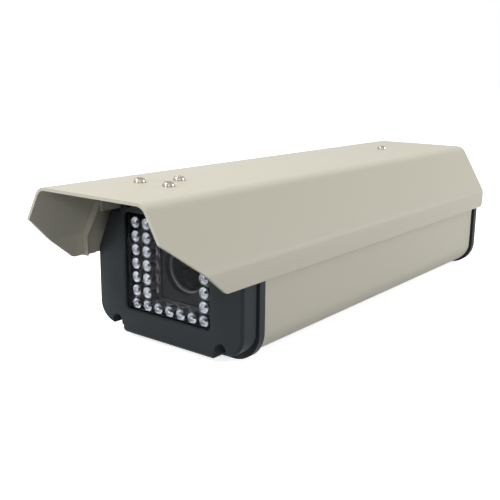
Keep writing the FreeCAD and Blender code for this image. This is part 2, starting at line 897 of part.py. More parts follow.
def pocket_outlines(radius_low, radius_high):
    """Straight sides of the screw pockets, open at the bottom and top edges."""
    outlines = []
    below = cell.shell_floor - CLEAR
    above = cell.shell_deck_level + CLEAR
    for side in (-1, 1):
        x = side * cell.low_port_x
        outlines.append(box_corners(x - radius_low, x + radius_low, below, cell.low_port_level))
        x = side * cell.high_port_x
        outlines.append(box_corners(x - radius_high, x + radius_high, cell.high_port_level, above))
    return outlines


def cut_screw_pockets(body, radius_low, radius_high, depth):
    pocket(body, outline_sketch(body, "front", pocket_outlines(radius_low, radius_high)), depth)
    rounds = [(spot, radius_low) for spot in port_spots()[:2]]
    rounds += [(spot, radius_high) for spot in port_spots()[2:]]
    pocket(body, circle_sketch(body, "front", rounds), depth)


def make_bezel():
    body = new_body("front_bezel")
    place(body, y=cell.face_front)
    half = shell_right(cell.bezel_grow, floor=cell.ear_floor, deck=cell.shell_deck_level)
    pad(body, outline_sketch(body, "front", [mirrored_outline(half)]), cell.bezel_depth, reverse=True)
    radii = [cell.ear_corner, cell.shell_bend, cell.shell_shoulder_corner, None, cell.shell_deck_corner]
    for corner, radius in zip(half, radii):
        if radius is not None:
            fillet(body, edges_where(body.Tip, near(both_sides([corner]))), radius)
    chin = centred_box(cell.chin_width, cell.chin_level, cell.ear_floor + cell.chin_corner)
    pad(body, outline_sketch(body, "front", [chin]), cell.bezel_depth, reverse=True)
    chin_edges = near(both_sides([(cell.chin_width / 2, cell.chin_level)]))
    fillet(body, edges_where(body.Tip, chin_edges), cell.chin_corner)
    chamfer(body, outer_front_edges(body), cell.face_chamfer)
    cut_screw_pockets(body, cell.pocket_radius, cell.high_pocket_radius, cell.bezel_depth)
    window = centred_box(cell.window_width, cell.window_low, cell.window_high)
    pocket(body, outline_sketch(body, "front", [window]), cell.bezel_depth)
    window_corners = near(both_sides([(cell.window_width / 2, cell.window_low),
                                      (cell.window_width / 2, cell.window_high)]))
    fillet(body, edges_where(body.Tip, window_corners), cell.window_corner)
    chamfer(body, window_edges(body), cell.window_chamfer)
    recess = centred_box(cell.glass_width + 2 * cell.glass_gap, cell.glass_low - cell.glass_gap,
                         cell.glass_high + cell.glass_gap)
    depth = cell.bezel_depth - cell.window_lip
    pocket(body, outline_sketch(body, "front", [recess], cell.window_lip), depth)
    cavity_front = cell.glass_rear - cell.face_front
    cavity = mirrored_outline(retainer_right(cell.glass_gap))
    pocket(body, outline_sketch(body, "front", [cavity], cavity_front), cell.bezel_depth - cavity_front)
    studs = [(spot, cell.pillar_stud) for spot in pillar_spots()]
    stud_front = cavity_front - cell.pillar_stud_length
    pocket(body, circle_sketch(body, "front", studs, stud_front), cell.pillar_stud_length)
    taps = [((x, y - cell.face_front), cell.screw_radius) for x, y in bracket_screw_spots()[:2]]
    sketch = circle_sketch(body, "top", taps, cell.shell_deck_level + CLEAR)
    depth = cell.sunk_grip - cell.bracket_sheet - cell.spacer_height + cell.tap_run_out
    pocket(body, sketch, depth + CLEAR)


def widest_face(body, toward):
    """The largest flat face that looks to the front (-1) or to the rear (1)."""
    names = faces_towards(body, y=toward)
    faces = [body.Tip.Shape.getElement(name) for name in names]
    return max(faces, key=lambda face: face.Area)


def wire_edges(body, wires):
    edges = [edge for wire in wires for edge in wire.Edges]
    return edges_where(body.Tip, lambda edge: any(edge.isSame(item) for item in edges))


def outer_front_edges(body):
    """Edges of the front face's outer outline."""
    return wire_edges(body, [widest_face(body, -1).OuterWire])


def window_edges(body):
    """Edges of the window on the front face."""
    face = widest_face(body, -1)
    return wire_edges(body, [wire for wire in face.Wires if not wire.isSame(face.OuterWire)])


def make_front_gasket():
    body = new_body("front_gasket")
    place(body, y=cell.bezel_rear)
    inset = cell.gasket_inset
    half = shell_right(-inset, floor=cell.ear_floor + inset, deck=cell.shell_deck_level - inset)
    pad(body, outline_sketch(body, "front", [mirrored_outline(half)]), cell.gasket_thick, reverse=True)
    fillet(body, edges_where(body.Tip, near(both_sides([half[0]]))), cell.ear_corner - inset)
    gap = cell.gasket_gap
    cut_screw_pockets(body, cell.pocket_radius + gap, cell.high_pocket_radius + gap, cell.gasket_thick)
    sketch = outline_sketch(body, "front", [mirrored_outline(opening_right(inset))])
    pocket(body, sketch, cell.gasket_thick)


def framed_sheet(name, y, outer, inner, thick, outer_corner=None, inner_corner=None):
    """A flat frame between two rectangles, each (width, low, high)."""
    body = new_body(name)
    place(body, y=y)
    pad(body, outline_sketch(body, "front", [centred_box(*outer)]), thick, reverse=True)
    if outer_corner is not None:
        fillet(body, edges_where(body.Tip, along("y")), outer_corner)
    if inner is not None:
        pocket(body, outline_sketch(body, "front", [centred_box(*inner)]), thick)
        if inner_corner is not None:
            spots = both_sides([(inner[0] / 2, inner[1]), (inner[0] / 2, inner[2])])
            fillet(body, edges_where(body.Tip, near(spots)), inner_corner)
    return body


def make_glass():
    glass = (cell.glass_width, cell.glass_low, cell.glass_high)
    window = (cell.window_width, cell.window_low, cell.window_high)
    framed_sheet("glass_seal", cell.seal_front, glass, window, cell.glass_seal_thick,
                 cell.glass_corner, cell.window_corner)
    framed_sheet("front_glass", cell.glass_front, glass, None, cell.glass_thick, cell.glass_corner)


def pillar_spots():
    return both_sides([(cell.pillar_x, cell.pillar_low), (cell.pillar_x, cell.pillar_high)])


def make_retainer():
    body = new_body("glass_retainer")
    place(body, y=cell.glass_rear)
    outline = mirrored_outline(retainer_right())
    pad(body, outline_sketch(body, "front", [outline]), cell.retainer_thick, reverse=True)
    window = centred_box(cell.window_width, cell.window_low, cell.window_high)
    pocket(body, outline_sketch(body, "front", [window]), cell.retainer_thick)
    holes = [(spot, cell.pillar_stud + cell.screw_clearance) for spot in pillar_spots()]
    pocket(body, circle_sketch(body, "front", holes), cell.retainer_thick)


# Lamp board and lens opening

def lens_opening():
    """Half width and half height of the opening left between the lamps."""
    margin = cell.lamp_radius + cell.lens_opening_gap
    half_x = cell.lamp_pitch_x * (cell.lamp_columns / 2 - 1.5) - margin
    half_z = cell.lamp_pitch_z * (cell.lamp_rows - 1) / 2 - margin
    return half_x, half_z


def opening_box(margin=0):
    half_x, half_z = lens_opening()
    return box_corners(-half_x - margin, half_x + margin,
                       cell.lens_level - half_z - margin, cell.lens_level + half_z + margin)


def make_lamp_board():
    body = new_body("lamp_board")
    place(body, y=cell.board_front)
    outline = mirrored_outline(opening_right(cell.lamp_board_gap))
    pad(body, outline_sketch(body, "front", [outline]), cell.board_thick, reverse=True)
    pocket(body, outline_sketch(body, "front", [opening_box()]), cell.board_thick)
    holes = [(spot, cell.small_screw_radius + cell.screw_clearance) for spot in pillar_spots()]
    pocket(body, circle_sketch(body, "front", holes), cell.board_thick)


def lamp_spots():
    """Every place of the lamp grid outside the lens opening."""
    columns = int(cell.lamp_columns.value)
    rows = int(cell.lamp_rows.value)
    spots = []
    for row in range(rows):
        for column in range(columns):
            in_middle = 2 <= column < columns - 2 and 0 < row < rows - 1
            if not in_middle:
                x = cell.lamp_pitch_x * (column - (columns - 1) / 2)
                z = cell.lens_level + cell.lamp_pitch_z * (row - (rows - 1) / 2)
                spots.append((x, cell.lamp_tip, z))
    return spots


def make_lamps():
    master = new_body("lamp_master", kept=False)
    profile = [(0, 0), (0, cell.lamp_tip_radius), (cell.lamp_dome_length, cell.lamp_radius),
               (cell.lamp_length, cell.lamp_radius), (cell.lamp_length, 0)]
    revolve(master, outline_sketch(master, "side", [profile]), "H_Axis")
    group("infrared_lamps", master, lamp_spots())


def make_pillars():
    master = new_body("pillar_master", kept=False)
    length = cell.board_front - cell.retainer_rear
    stud = cell.retainer_thick + cell.pillar_stud_length
    profile = [(-stud, 0), (-stud, cell.pillar_stud), (0, cell.pillar_stud), (0, cell.pillar_radius),
               (length, cell.pillar_radius), (length, cell.small_screw_radius),
               (length - cell.small_grip, cell.small_screw_radius), (length - cell.small_grip, 0)]
    revolve(master, outline_sketch(master, "side", [profile]), "H_Axis")
    spots = [(x, cell.retainer_rear, z) for x, z in pillar_spots()]
    group("lamp_board_pillars", master, spots)


def make_lens_shroud():
    body = new_body("lens_shroud")
    place(body, y=cell.board_rear)
    plate = opening_box(cell.shroud_margin)
    pad(body, outline_sketch(body, "front", [plate]), cell.shroud_sheet, reverse=True)
    middle = (0, cell.lens_level)
    outer = cell.lens_ring_radius + cell.shroud_wall
    pad(body, circle_sketch(body, "front", [(middle, outer)]), cell.shroud_length, reverse=True)
    pocket(body, circle_sketch(body, "front", [(middle, cell.lens_ring_radius)]), cell.shroud_length)
    ring = new_body("lens_ring")
    place(ring, y=cell.board_rear + cell.lens_ring_setback)
    circles = [(middle, cell.lens_ring_radius), (middle, cell.lens_ring_radius - cell.lens_ring_wall)]
    pad(ring, circle_sketch(ring, "front", circles), cell.lens_ring_depth, reverse=True)
    sensor = new_body("light_sensor")
    level = cell.lens_level + cell.sensor_rise
    side = lens_opening()[0] - cell.sensor_inset
    place(sensor, x=side, y=cell.board_rear - cell.sensor_length, z=level)
    round_end = circle_sketch(sensor, "front", [((0, 0), cell.sensor_radius)])
    pad(sensor, round_end, cell.sensor_length, reverse=True)


# Screws, nuts, washers

def pan_profile(grip, shank, head, height):
    """Half section of a pan head screw as (distance below the head, radius)."""
    return [(-height, 0), (-height, head * PAN_CROWN), (-height * PAN_RIM, head), (0, head), (0, shank),
            (grip, shank), (grip, 0)]


def screw_master(name, way, profile, drive=False):
    """A turned screw, with a cross recess or plain; its tip points 'down', 'rear' or 'front'."""
    body = new_body(name, kept=False)
    if way == "down":
        corners = [(radius, -along_axis) for along_axis, radius in profile]
        revolve(body, outline_sketch(body, "front", [corners]), "V_Axis")
    else:
        sign = 1 if way == "rear" else -1
        corners = [(sign * along_axis, radius) for along_axis, radius in profile]
        revolve(body, outline_sketch(body, "side", [corners]), "H_Axis")
    if drive:
        cut_cross(body, way, -profile[0][0])
    return body


def cut_cross(body, way, head_end):
    """Two crossed slots in the end of a screw's head."""
    half_width = cell.drive_width / 2
    slot = box_corners(-cell.drive_length / 2, cell.drive_length / 2, -half_width, half_width)
    cross = [(v, u) for u, v in slot]
    plane, depth, reverse = {
        "down": ("top", head_end, False),
        "rear": ("front", -head_end, False),
        "front": ("front", head_end, True),
    }[way]
    for outline in (slot, cross):
        pocket(body, outline_sketch(body, plane, [outline], depth), cell.drive_depth, reverse=reverse)


def hex_outline(across):
    corner = across / math.sqrt(3)
    return [(corner, 0), (corner / 2, across / 2), (-corner / 2, across / 2), (-corner, 0),
            (-corner / 2, -across / 2), (corner / 2, -across / 2)]


def make_sunshield_screws():
    grip = cell.hood_screw_grip
    profile = pan_profile(grip, cell.screw_radius, cell.screw_head_radius, cell.screw_head_height)
    master = screw_master("sunshield_screw_master", "down", profile, drive=True)
    spots = [(x, cell.hood_front + setback, cell.hood_top_level) for x, setback in hood_screw_spots()]
    group("sunshield_screws", master, spots)
    nut = new_body("sunshield_nut_master", kept=False)
    pad(nut, outline_sketch(nut, "top", [hex_outline(cell.nut_across)]), cell.nut_height)
    pocket(nut, circle_sketch(nut, "top", [((0, 0), cell.screw_radius)], cell.nut_height), cell.nut_height)
    level = cell.web_underside - cell.nut_height
    spots = [(x, cell.hood_front + setback, level) for x, setback in hood_screw_spots()]
    group("sunshield_nuts", nut, spots)


def make_bracket_screws():
    head = cell.sunk_head_height
    profile = [(0, 0), (0, cell.screw_head_radius), (head, cell.screw_head_radius),
               (head, cell.screw_radius), (cell.sunk_grip, cell.screw_radius), (cell.sunk_grip, 0)]
    master = screw_master("bracket_screw_master", "down", profile)
    spots = bracket_screw_spots()
    group("bracket_screws", master, [(x, y, cell.hood_underside) for x, y in spots])
    tube = new_body("bracket_spacer_master", kept=False)
    radii = [((0, 0), cell.spacer_radius), ((0, 0), cell.screw_radius + cell.screw_clearance)]
    pad(tube, circle_sketch(tube, "top", radii), cell.spacer_height)
    group("bracket_spacers", tube, [(x, y, cell.shell_deck_level) for x, y in spots])


def make_case_screws():
    profile = pan_profile(cell.screw_grip, cell.screw_radius, cell.screw_head_radius, cell.screw_head_height)
    master = screw_master("bezel_screw_master", "rear", profile, drive=True)
    group("bezel_screws", master, [(x, cell.ring_front, z) for x, z in port_spots()])
    master = screw_master("cap_screw_master", "front", profile, drive=True)
    group("rear_cap_screws", master, [(x, cell.cap_rear, z) for x, z in port_spots()])


def make_lamp_board_screws():
    profile = pan_profile(cell.small_grip + cell.board_thick, cell.small_screw_radius,
                          cell.small_head_radius, cell.small_head_height)
    master = screw_master("board_screw_master", "front", profile)
    group("lamp_board_screws", master, [(x, cell.board_rear, z) for x, z in pillar_spots()])


# Camera tray

def make_tray():
    body = new_body("camera_tray")
    place(body, y=cell.tray_front)
    half = cell.tray_half_width
    plate = box_corners(-half, half, 0, cell.tray_length)
    pad(body, outline_sketch(body, "top", [plate], cell.tray_under), cell.tray_sheet)
    flange_half = cell.tab_x
    for start in (0, cell.tray_length - cell.tray_sheet):
        fold = box_corners(-flange_half, flange_half, cell.tray_under, cell.tray_top + cell.tray_flange)
        pad(body, outline_sketch(body, "front", [fold], start), cell.tray_sheet, reverse=True)
    tab_top = cell.tray_top + cell.tab_height
    tab = box_corners(cell.tab_x - cell.tray_sheet, cell.tab_x, cell.tray_under, tab_top)
    other_tab = [(-u, v) for u, v in tab]
    sketch = outline_sketch(body, "front", [tab, other_tab], cell.tab_start)
    pad(body, sketch, cell.tab_length, reverse=True)
    start = cell.tray_top + CLEAR
    depth = cell.tray_sheet + 2 * CLEAR
    front = cell.tray_slot_front
    rear = cell.tray_slot_rear
    slot = box_corners(-cell.tray_slot_width / 2, cell.tray_slot_width / 2, front, rear)
    pocket(body, outline_sketch(body, "top", [slot], start), depth)
    ends = [((0, y), cell.tray_slot_width / 2) for y in (front, rear)]
    pocket(body, circle_sketch(body, "top", ends, start), depth)
    half_width = cell.tray_window_width / 2
    half_length = cell.tray_window_length / 2
    middle = (front + rear) / 2
    window = box_corners(cell.tray_window_x - half_width, cell.tray_window_x + half_width,
                         middle - half_length, middle + half_length)
    other_window = [(-u, v) for u, v in window]
    pocket(body, outline_sketch(body, "top", [window, other_window], start), depth)
    corners = edges_where(body.Tip, near(window + other_window, axis="z"))
    fillet(body, corners, cell.tray_window_corner)
    level = cell.tray_top + cell.tab_height / 2
    middle_y = cell.tab_start + cell.tab_length / 2
    sketch = circle_sketch(body, "side", [((middle_y, level), cell.lock_radius)])
    pocket(body, sketch, cell.shell_width, both=True)


def make_tray_screws():
    level = cell.tray_top + cell.tab_height / 2
    y = cell.tray_front + cell.tab_start + cell.tab_length / 2
    inner = cell.tab_x - cell.tray_sheet
    reach = cell.shell_width / 2 - cell.shell_wall - cell.lock_tip_gap
    masters = []
    for name, sign in (("lock_master_right", 1), ("lock_master_left", -1)):
        master = new_body(name, kept=False)
        start = sign * (inner - cell.lock_head_length)
        head = circle_sketch(master, "side", [((0, 0), cell.lock_head_radius)], start)
        pad(master, head, cell.lock_head_length, reverse=sign < 0)
        shank = circle_sketch(master, "side", [((0, 0), cell.lock_radius)], sign * inner)
        pad(master, shank, reach - inner, reverse=sign < 0)
        masters.append(master)
    links = []
    for master in masters:
        link = doc.addObject("App::Link", master.Name + "_link")
        link.LinkedObject = master
        links.append(place(link, 0, y, level))
    node = doc.addObject("Part::Compound", "tray_lock_screws")
    node.Label = "tray_lock_screws"
    node.Links = links
    nodes.append(node)
    screw = new_body("camera_screw")
    place(screw, y=cell.tray_front + cell.camera_screw_place)
    under = cell.tray_under - cell.camera_screw_head_height
    head = [((0, 0), cell.camera_screw_head_radius)]
    pad(screw, circle_sketch(screw, "top", head, under), cell.camera_screw_head_height)
    shank = [((0, 0), cell.camera_screw_radius)]
    pad(screw, circle_sketch(screw, "top", shank, cell.tray_under), cell.tray_sheet + cell.camera_screw_reach)


# Supply board

def supply_box(x, y, width, length):
    """A rectangle on the supply board, centred at x and y from its front left corner."""
    return box_corners(x - width / 2, x + width / 2, y - length / 2, y + length / 2)


def supply_pillar_spots():
    low = cell.supply_pillar_inset
    high = cell.supply_length - cell.supply_pillar_inset
    return both_sides([(cell.supply_pillar_x, low), (cell.supply_pillar_x, high)])


def make_supply_board():
    body = new_body("supply_board")
    place(body, y=cell.supply_front)
    plate = box_corners(-cell.supply_width / 2, cell.supply_width / 2, 0, cell.supply_length)
    pad(body, outline_sketch(body, "top", [plate], cell.supply_under), cell.board_thick)
    holes = [(spot, cell.small_screw_radius + cell.screw_clearance) for spot in supply_pillar_spots()]
    sketch = circle_sketch(body, "top", holes, cell.supply_top + CLEAR)
    pocket(body, sketch, cell.board_thick + 2 * CLEAR)
    pillar = new_body("supply_pillar_master", kept=False)
    pad(pillar, circle_sketch(pillar, "top", [((0, 0), cell.supply_pillar_radius)]), cell.supply_gap)
    bore = circle_sketch(pillar, "top", [((0, 0), cell.small_screw_radius)], cell.supply_gap)
    pocket(pillar, bore, cell.small_grip)
    spots = [(x, cell.supply_front + y, cell.keel_top) for x, y in supply_pillar_spots()]
    group("supply_board_pillars", pillar, spots)
    profile = pan_profile(cell.small_grip + cell.board_thick, cell.small_screw_radius,
                          cell.small_head_radius, cell.small_head_height)
    master = screw_master("supply_screw_master", "down", profile)
    spots = [(x, cell.supply_front + y, cell.supply_top) for x, y in supply_pillar_spots()]
    group("supply_board_screws", master, spots)


def make_transformer():
    core = new_body("transformer_core")
    place(core, x=cell.core_x, y=cell.supply_front + cell.core_y, z=cell.supply_top)
    outline = supply_box(0, 0, cell.core_length, cell.core_depth)
    pad(core, outline_sketch(core, "top", [outline]), cell.core_height)
    hole_high = cell.core_height - (cell.core_height - cell.winding_height) / 2
    hole_low = (cell.core_height - cell.winding_height) / 2
    hole = centred_box(cell.winding_length, hole_low, hole_high)
    pocket(core, outline_sketch(core, "front", [hole]), cell.core_depth * 2, both=True)
    coil = new_body("transformer_winding")
    place(coil, x=cell.core_x, y=cell.supply_front + cell.core_y, z=cell.supply_top)
    outline = centred_box(cell.winding_length, hole_low, hole_high)
    pad(coil, outline_sketch(coil, "front", [outline]), cell.winding_depth, both=True)
    fillet(coil, edges_where(coil.Tip, along("z")), cell.winding_corner)


def make_capacitors():
    can = new_body("capacitor_master", kept=False)
    pad(can, circle_sketch(can, "top", [((0, 0), cell.capacitor_radius)]), cell.capacitor_height)
    top = edges_where(can.Tip, lambda edge: abs(edge.BoundBox.ZMin - cell.capacitor_height.value) < 1e-6)
    chamfer(can, top, cell.capacitor_edge)
    spots = []
    for number in range(3):
        y = cell.supply_front + cell.capacitor_y + cell.capacitor_pitch * number
        spots.append((cell.capacitor_x, y, cell.supply_top))
    group("capacitors", can, spots)


def make_heat_sink():
    body = new_body("heat_sink")
    place(body, x=cell.sink_x, y=cell.supply_front + cell.sink_y, z=cell.supply_top)
    back = supply_box(0, 0, cell.sink_width, cell.sink_fin)
    pad(body, outline_sketch(body, "top", [back]), cell.sink_height)
    fins = int(cell.sink_fins.value)
    step = (cell.sink_width - cell.sink_fin) / (fins - 1)
    outlines = []
    for number in range(fins):
        x = step * number - (cell.sink_width - cell.sink_fin) / 2
        outlines.append(box_corners(x - cell.sink_fin / 2, x + cell.sink_fin / 2, 0, cell.sink_depth))
    pad(body, outline_sketch(body, "top", outlines), cell.sink_height)


def make_terminal_block():
    body = new_body("terminal_block")
    place(body, y=cell.supply_front + cell.terminal_y, z=cell.supply_top)
    ways = int(cell.terminal_ways.value)
    width = cell.terminal_pitch * ways
    outline = box_corners(-width / 2, width / 2, -cell.terminal_depth / 2, cell.terminal_depth / 2)
    pad(body, outline_sketch(body, "top", [outline]), cell.terminal_height)
    step = box_corners(0, cell.terminal_depth, cell.terminal_step, cell.terminal_height + CLEAR)
    pocket(body, outline_sketch(body, "side", [step]), width + 2 * CLEAR, both=True)
    wells = []
    mouths = []
    for number in range(ways):
        x = cell.terminal_pitch * (number - (ways - 1) / 2)
        wells.append(((x, -cell.terminal_depth / 4), cell.terminal_well))
        mouths.append(box_corners(x - cell.terminal_well, x + cell.terminal_well,
                                  cell.terminal_mouth_low, cell.terminal_mouth_high))
    pocket(body, circle_sketch(body, "top", wells, cell.terminal_height), cell.terminal_well_depth)
    sketch = outline_sketch(body, "front", mouths, cell.terminal_depth / 2)
    pocket(body, sketch, cell.terminal_mouth_depth, reverse=True)


# Rear cap and cable entries

def make_rear_gasket():
    body = new_body("rear_gasket")
    place(body, y=cell.shell_rear)
    inset = cell.gasket_inset
    shell_solid(body, -inset, cell.rear_gasket_thick)
    pocket(body, outline_sketch(body, "front", [mirrored_outline(opening_right())]), cell.rear_gasket_thick)
    holes = [(spot, cell.screw_radius + cell.screw_clearance) for spot in port_spots()]
    pocket(body, circle_sketch(body, "front", holes), cell.rear_gasket_thick)


def entry_spots():
    """X of the three threaded entries: two glands with the blanking plug between them."""
    return [-cell.gland_x, 0, cell.gland_x]


def make_rear_cap():
    body = new_body("rear_cap")
    place(body, y=cell.cap_front)
    shell_solid(body, cell.ring_grow, cell.cap_thick)
    chamfer(body, wire_edges(body, [widest_face(body, 1).OuterWire]), cell.cap_edge)
    pocket(body, outline_sketch(body, "front", [mirrored_outline(opening_right())]),
           cell.cap_thick - cell.cap_plate)
    sketch = outline_sketch(body, "front", [mirrored_outline(opening_right())], cell.cap_thick)
    pocket(body, sketch, cell.cap_panel_depth, reverse=True)
    spigot_start = -cell.rear_gasket_thick - cell.cap_spigot
    spigot_length = cell.cap_thick - cell.cap_plate - spigot_start
    rims = [mirrored_outline(opening_right(cell.cap_spigot_gap)),
            mirrored_outline(opening_right(cell.cap_spigot_gap + cell.cap_spigot_wall))]
    pad(body, outline_sketch(body, "front", rims, spigot_start), spigot_length, reverse=True)
    entries = [((x, cell.gland_level), cell.gland_thread + cell.gland_hole_gap) for x in entry_spots()]
    pocket(body, circle_sketch(body, "front", entries), cell.cap_thick)
    holes = [(spot, cell.screw_radius + cell.screw_clearance) for spot in port_spots()]
    pocket(body, circle_sketch(body, "front", holes), cell.cap_thick)
    earth = [((0, cell.earth_level), cell.screw_radius)]
    pocket(body, circle_sketch(body, "front", earth), cell.cap_thick)


def make_glands():
    seat = cell.cap_rear - cell.cap_panel_depth
    sides = [entry_spots()[0], entry_spots()[2]]
    body = new_body("gland_body_master", kept=False)
    hexagon = outline_sketch(body, "front", [hex_outline(cell.gland_across)])
    pad(body, hexagon, cell.gland_flange, reverse=True)
    thread = circle_sketch(body, "front", [((0, 0), cell.gland_thread)], -cell.gland_reach_in)
    pad(body, thread, cell.gland_reach_in, reverse=True)
    neck = circle_sketch(body, "front", [((0, 0), cell.gland_neck)], cell.gland_flange)
    pad(body, neck, cell.gland_neck_length, reverse=True)
    bore = circle_sketch(body, "front", [((0, 0), cell.seal_radius)], -cell.gland_reach_in)
    pocket(body, bore, cell.gland_reach_in + cell.gland_flange + cell.gland_neck_length)
    group("gland_bodies", body, [(x, seat, cell.gland_level) for x in sides])

    dome = new_body("gland_dome_master", kept=False)
    inner = cell.gland_neck + cell.gland_hole_gap
    mouth = cell.seal_radius - cell.dome_mouth_step
    profile = [
        (0, inner), (0, cell.dome_radius), (cell.dome_straight, cell.dome_radius),
        (cell.dome_shoulder, cell.dome_shoulder_radius), (cell.dome_length, cell.dome_tip_radius),
        (cell.dome_length, mouth), (cell.dome_length - cell.dome_wall, mouth),
        (cell.dome_length - cell.dome_wall, inner),
    ]
    revolve(dome, outline_sketch(dome, "side", [profile]), "H_Axis")
    skirt = new_sketch(dome, "front", 0)
    draw_outline(skirt, hex_outline(cell.gland_across))
    draw_circle(skirt, (0, 0), inner)
    pad(dome, skirt, cell.dome_skirt, reverse=True)
    dome_front = seat + cell.gland_flange + cell.gland_hole_gap
    group("gland_dome_nuts", dome, [(x, dome_front, cell.gland_level) for x in sides])

    seal = new_body("gland_seal_master", kept=False)
    circles = [((0, 0), cell.seal_radius), ((0, 0), cell.seal_bore)]
    length = cell.dome_length - cell.dome_wall - cell.gland_hole_gap
    pad(seal, circle_sketch(seal, "front", circles), length, reverse=True)
    group("gland_seals", seal, [(x, dome_front, cell.gland_level) for x in sides])

    nut = new_body("entry_nut_master", kept=False)
    sketch = new_sketch(nut, "front", 0)
    draw_outline(sketch, hex_outline(cell.lock_nut_across))
    draw_circle(sketch, (0, 0), cell.gland_thread)
    pad(nut, sketch, cell.lock_nut_height, reverse=True)
    nut_front = cell.cap_rear - cell.cap_plate - cell.lock_nut_height
    group("entry_lock_nuts", nut, [(x, nut_front, cell.gland_level) for x in entry_spots()])

    plug = new_body("blanking_plug")
    place(plug, y=seat, z=cell.gland_level)
    shank = circle_sketch(plug, "front", [((0, 0), cell.gland_thread)], -cell.gland_reach_in)
    pad(plug, shank, cell.gland_reach_in, reverse=True)
    head = circle_sketch(plug, "front", [((0, 0), cell.plug_head_radius)])
    pad(plug, head, cell.plug_head_height, reverse=True)
    rim = edges_where(plug.Tip, lambda edge: abs(edge.BoundBox.YMin - cell.plug_head_height.value) < 1e-6)
    chamfer(plug, rim, cell.plug_edge)
    half_length = cell.plug_slot_length / 2
    slot = box_corners(-half_length, half_length, -cell.drive_width, cell.drive_width)
    sketch = outline_sketch(plug, "front", [slot], cell.plug_head_height)
    pocket(plug, sketch, cell.drive_depth, reverse=True)


def make_earth_point():
    seat = cell.cap_rear - cell.cap_panel_depth
    washer = new_body("earth_washer")
    place(washer, y=seat, z=cell.earth_level)
    circles = [((0, 0), cell.washer_radius), ((0, 0), cell.screw_radius + cell.screw_clearance)]
    pad(washer, circle_sketch(washer, "front", circles), cell.washer_thick, reverse=True)
    profile = pan_profile(cell.earth_grip, cell.screw_radius, cell.screw_head_radius, cell.screw_head_height)
    master = screw_master("earth_screw_master", "front", profile, drive=True)
    group("earth_screw", master, [(0, seat + cell.washer_thick, cell.earth_level)])


def check_and_write():
    """Stop on a failed or open shape, then write one file for each piece."""
    doc.recompute()
    for thing in doc.Objects:
        if "Invalid" in thing.State or "Error" in thing.State:
            raise ValueError(thing.Name + " failed")
    for node in nodes:
        shape = node.Shape
        if shape.isNull() or not shape.isValid() or not shape.Solids:
            raise ValueError(node.Label + " has no valid solid")
    os.makedirs("parts", exist_ok=True)
    for node in nodes:
        node.Shape.exportStep(os.path.join("parts", node.Label + ".step"))
        print(node.Label, len(node.Shape.Solids), round(node.Shape.Volume, 1))


fill_sheet()
make_sunshield()
make_front_bracket()
make_rear_bracket()
make_stiffener("sunshield_stiffener_left", -1)
make_stiffener("sunshield_stiffener_right", 1)
make_sunshield_screws()
make_bracket_screws()
make_body()
make_front_ring()
make_front_gasket()
make_bezel()
make_glass()
make_retainer()
make_case_screws()
make_lamp_board()
make_lamps()
make_pillars()
make_lamp_board_screws()
make_lens_shroud()
make_tray()
make_tray_screws()
make_supply_board()
make_transformer()
make_capacitors()
make_heat_sink()
make_terminal_block()
make_rear_gasket()
make_rear_cap()
make_glands()
make_earth_point()
check_and_write()
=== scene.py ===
import json
import math

import bmesh
import bpy
from mathutils import Matrix, Vector


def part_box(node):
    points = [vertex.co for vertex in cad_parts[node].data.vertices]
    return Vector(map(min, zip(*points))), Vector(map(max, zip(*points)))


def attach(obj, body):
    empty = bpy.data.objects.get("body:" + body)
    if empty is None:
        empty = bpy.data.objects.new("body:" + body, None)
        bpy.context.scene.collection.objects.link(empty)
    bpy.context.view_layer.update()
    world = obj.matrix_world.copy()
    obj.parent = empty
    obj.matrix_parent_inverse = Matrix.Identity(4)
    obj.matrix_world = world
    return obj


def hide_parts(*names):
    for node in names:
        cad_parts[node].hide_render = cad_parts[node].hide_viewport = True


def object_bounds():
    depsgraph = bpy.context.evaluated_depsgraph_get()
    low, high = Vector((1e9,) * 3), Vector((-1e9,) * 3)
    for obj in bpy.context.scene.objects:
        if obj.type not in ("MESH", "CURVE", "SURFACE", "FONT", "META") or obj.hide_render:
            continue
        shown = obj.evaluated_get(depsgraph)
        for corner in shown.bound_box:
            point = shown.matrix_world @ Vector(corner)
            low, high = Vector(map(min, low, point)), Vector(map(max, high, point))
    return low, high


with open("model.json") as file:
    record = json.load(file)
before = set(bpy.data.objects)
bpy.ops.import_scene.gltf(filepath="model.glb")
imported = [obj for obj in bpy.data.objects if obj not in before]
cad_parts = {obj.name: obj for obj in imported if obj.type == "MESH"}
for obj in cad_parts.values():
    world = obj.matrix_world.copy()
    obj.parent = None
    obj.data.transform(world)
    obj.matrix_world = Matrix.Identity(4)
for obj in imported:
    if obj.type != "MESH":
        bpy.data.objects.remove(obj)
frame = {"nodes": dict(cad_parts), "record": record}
cad_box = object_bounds()

MM = 0.001
HOUSING = "housing"
TRAY = "tray"

UPWARDS = Vector((0, 0, 1))
TO_FRONT = Vector((0, -1, 0))
TO_REAR = Vector((0, 1, 0))

WHITE = (1.0, 1.0, 1.0, 1.0)


# Shader maths

# A Mix node has sockets for every kind of data. These are the ones that it mixes colours with.
MIX_FACTOR = 0
MIX_FIRST_COLOUR = 6
MIX_SECOND_COLOUR = 7
MIX_COLOUR_RESULT = 2


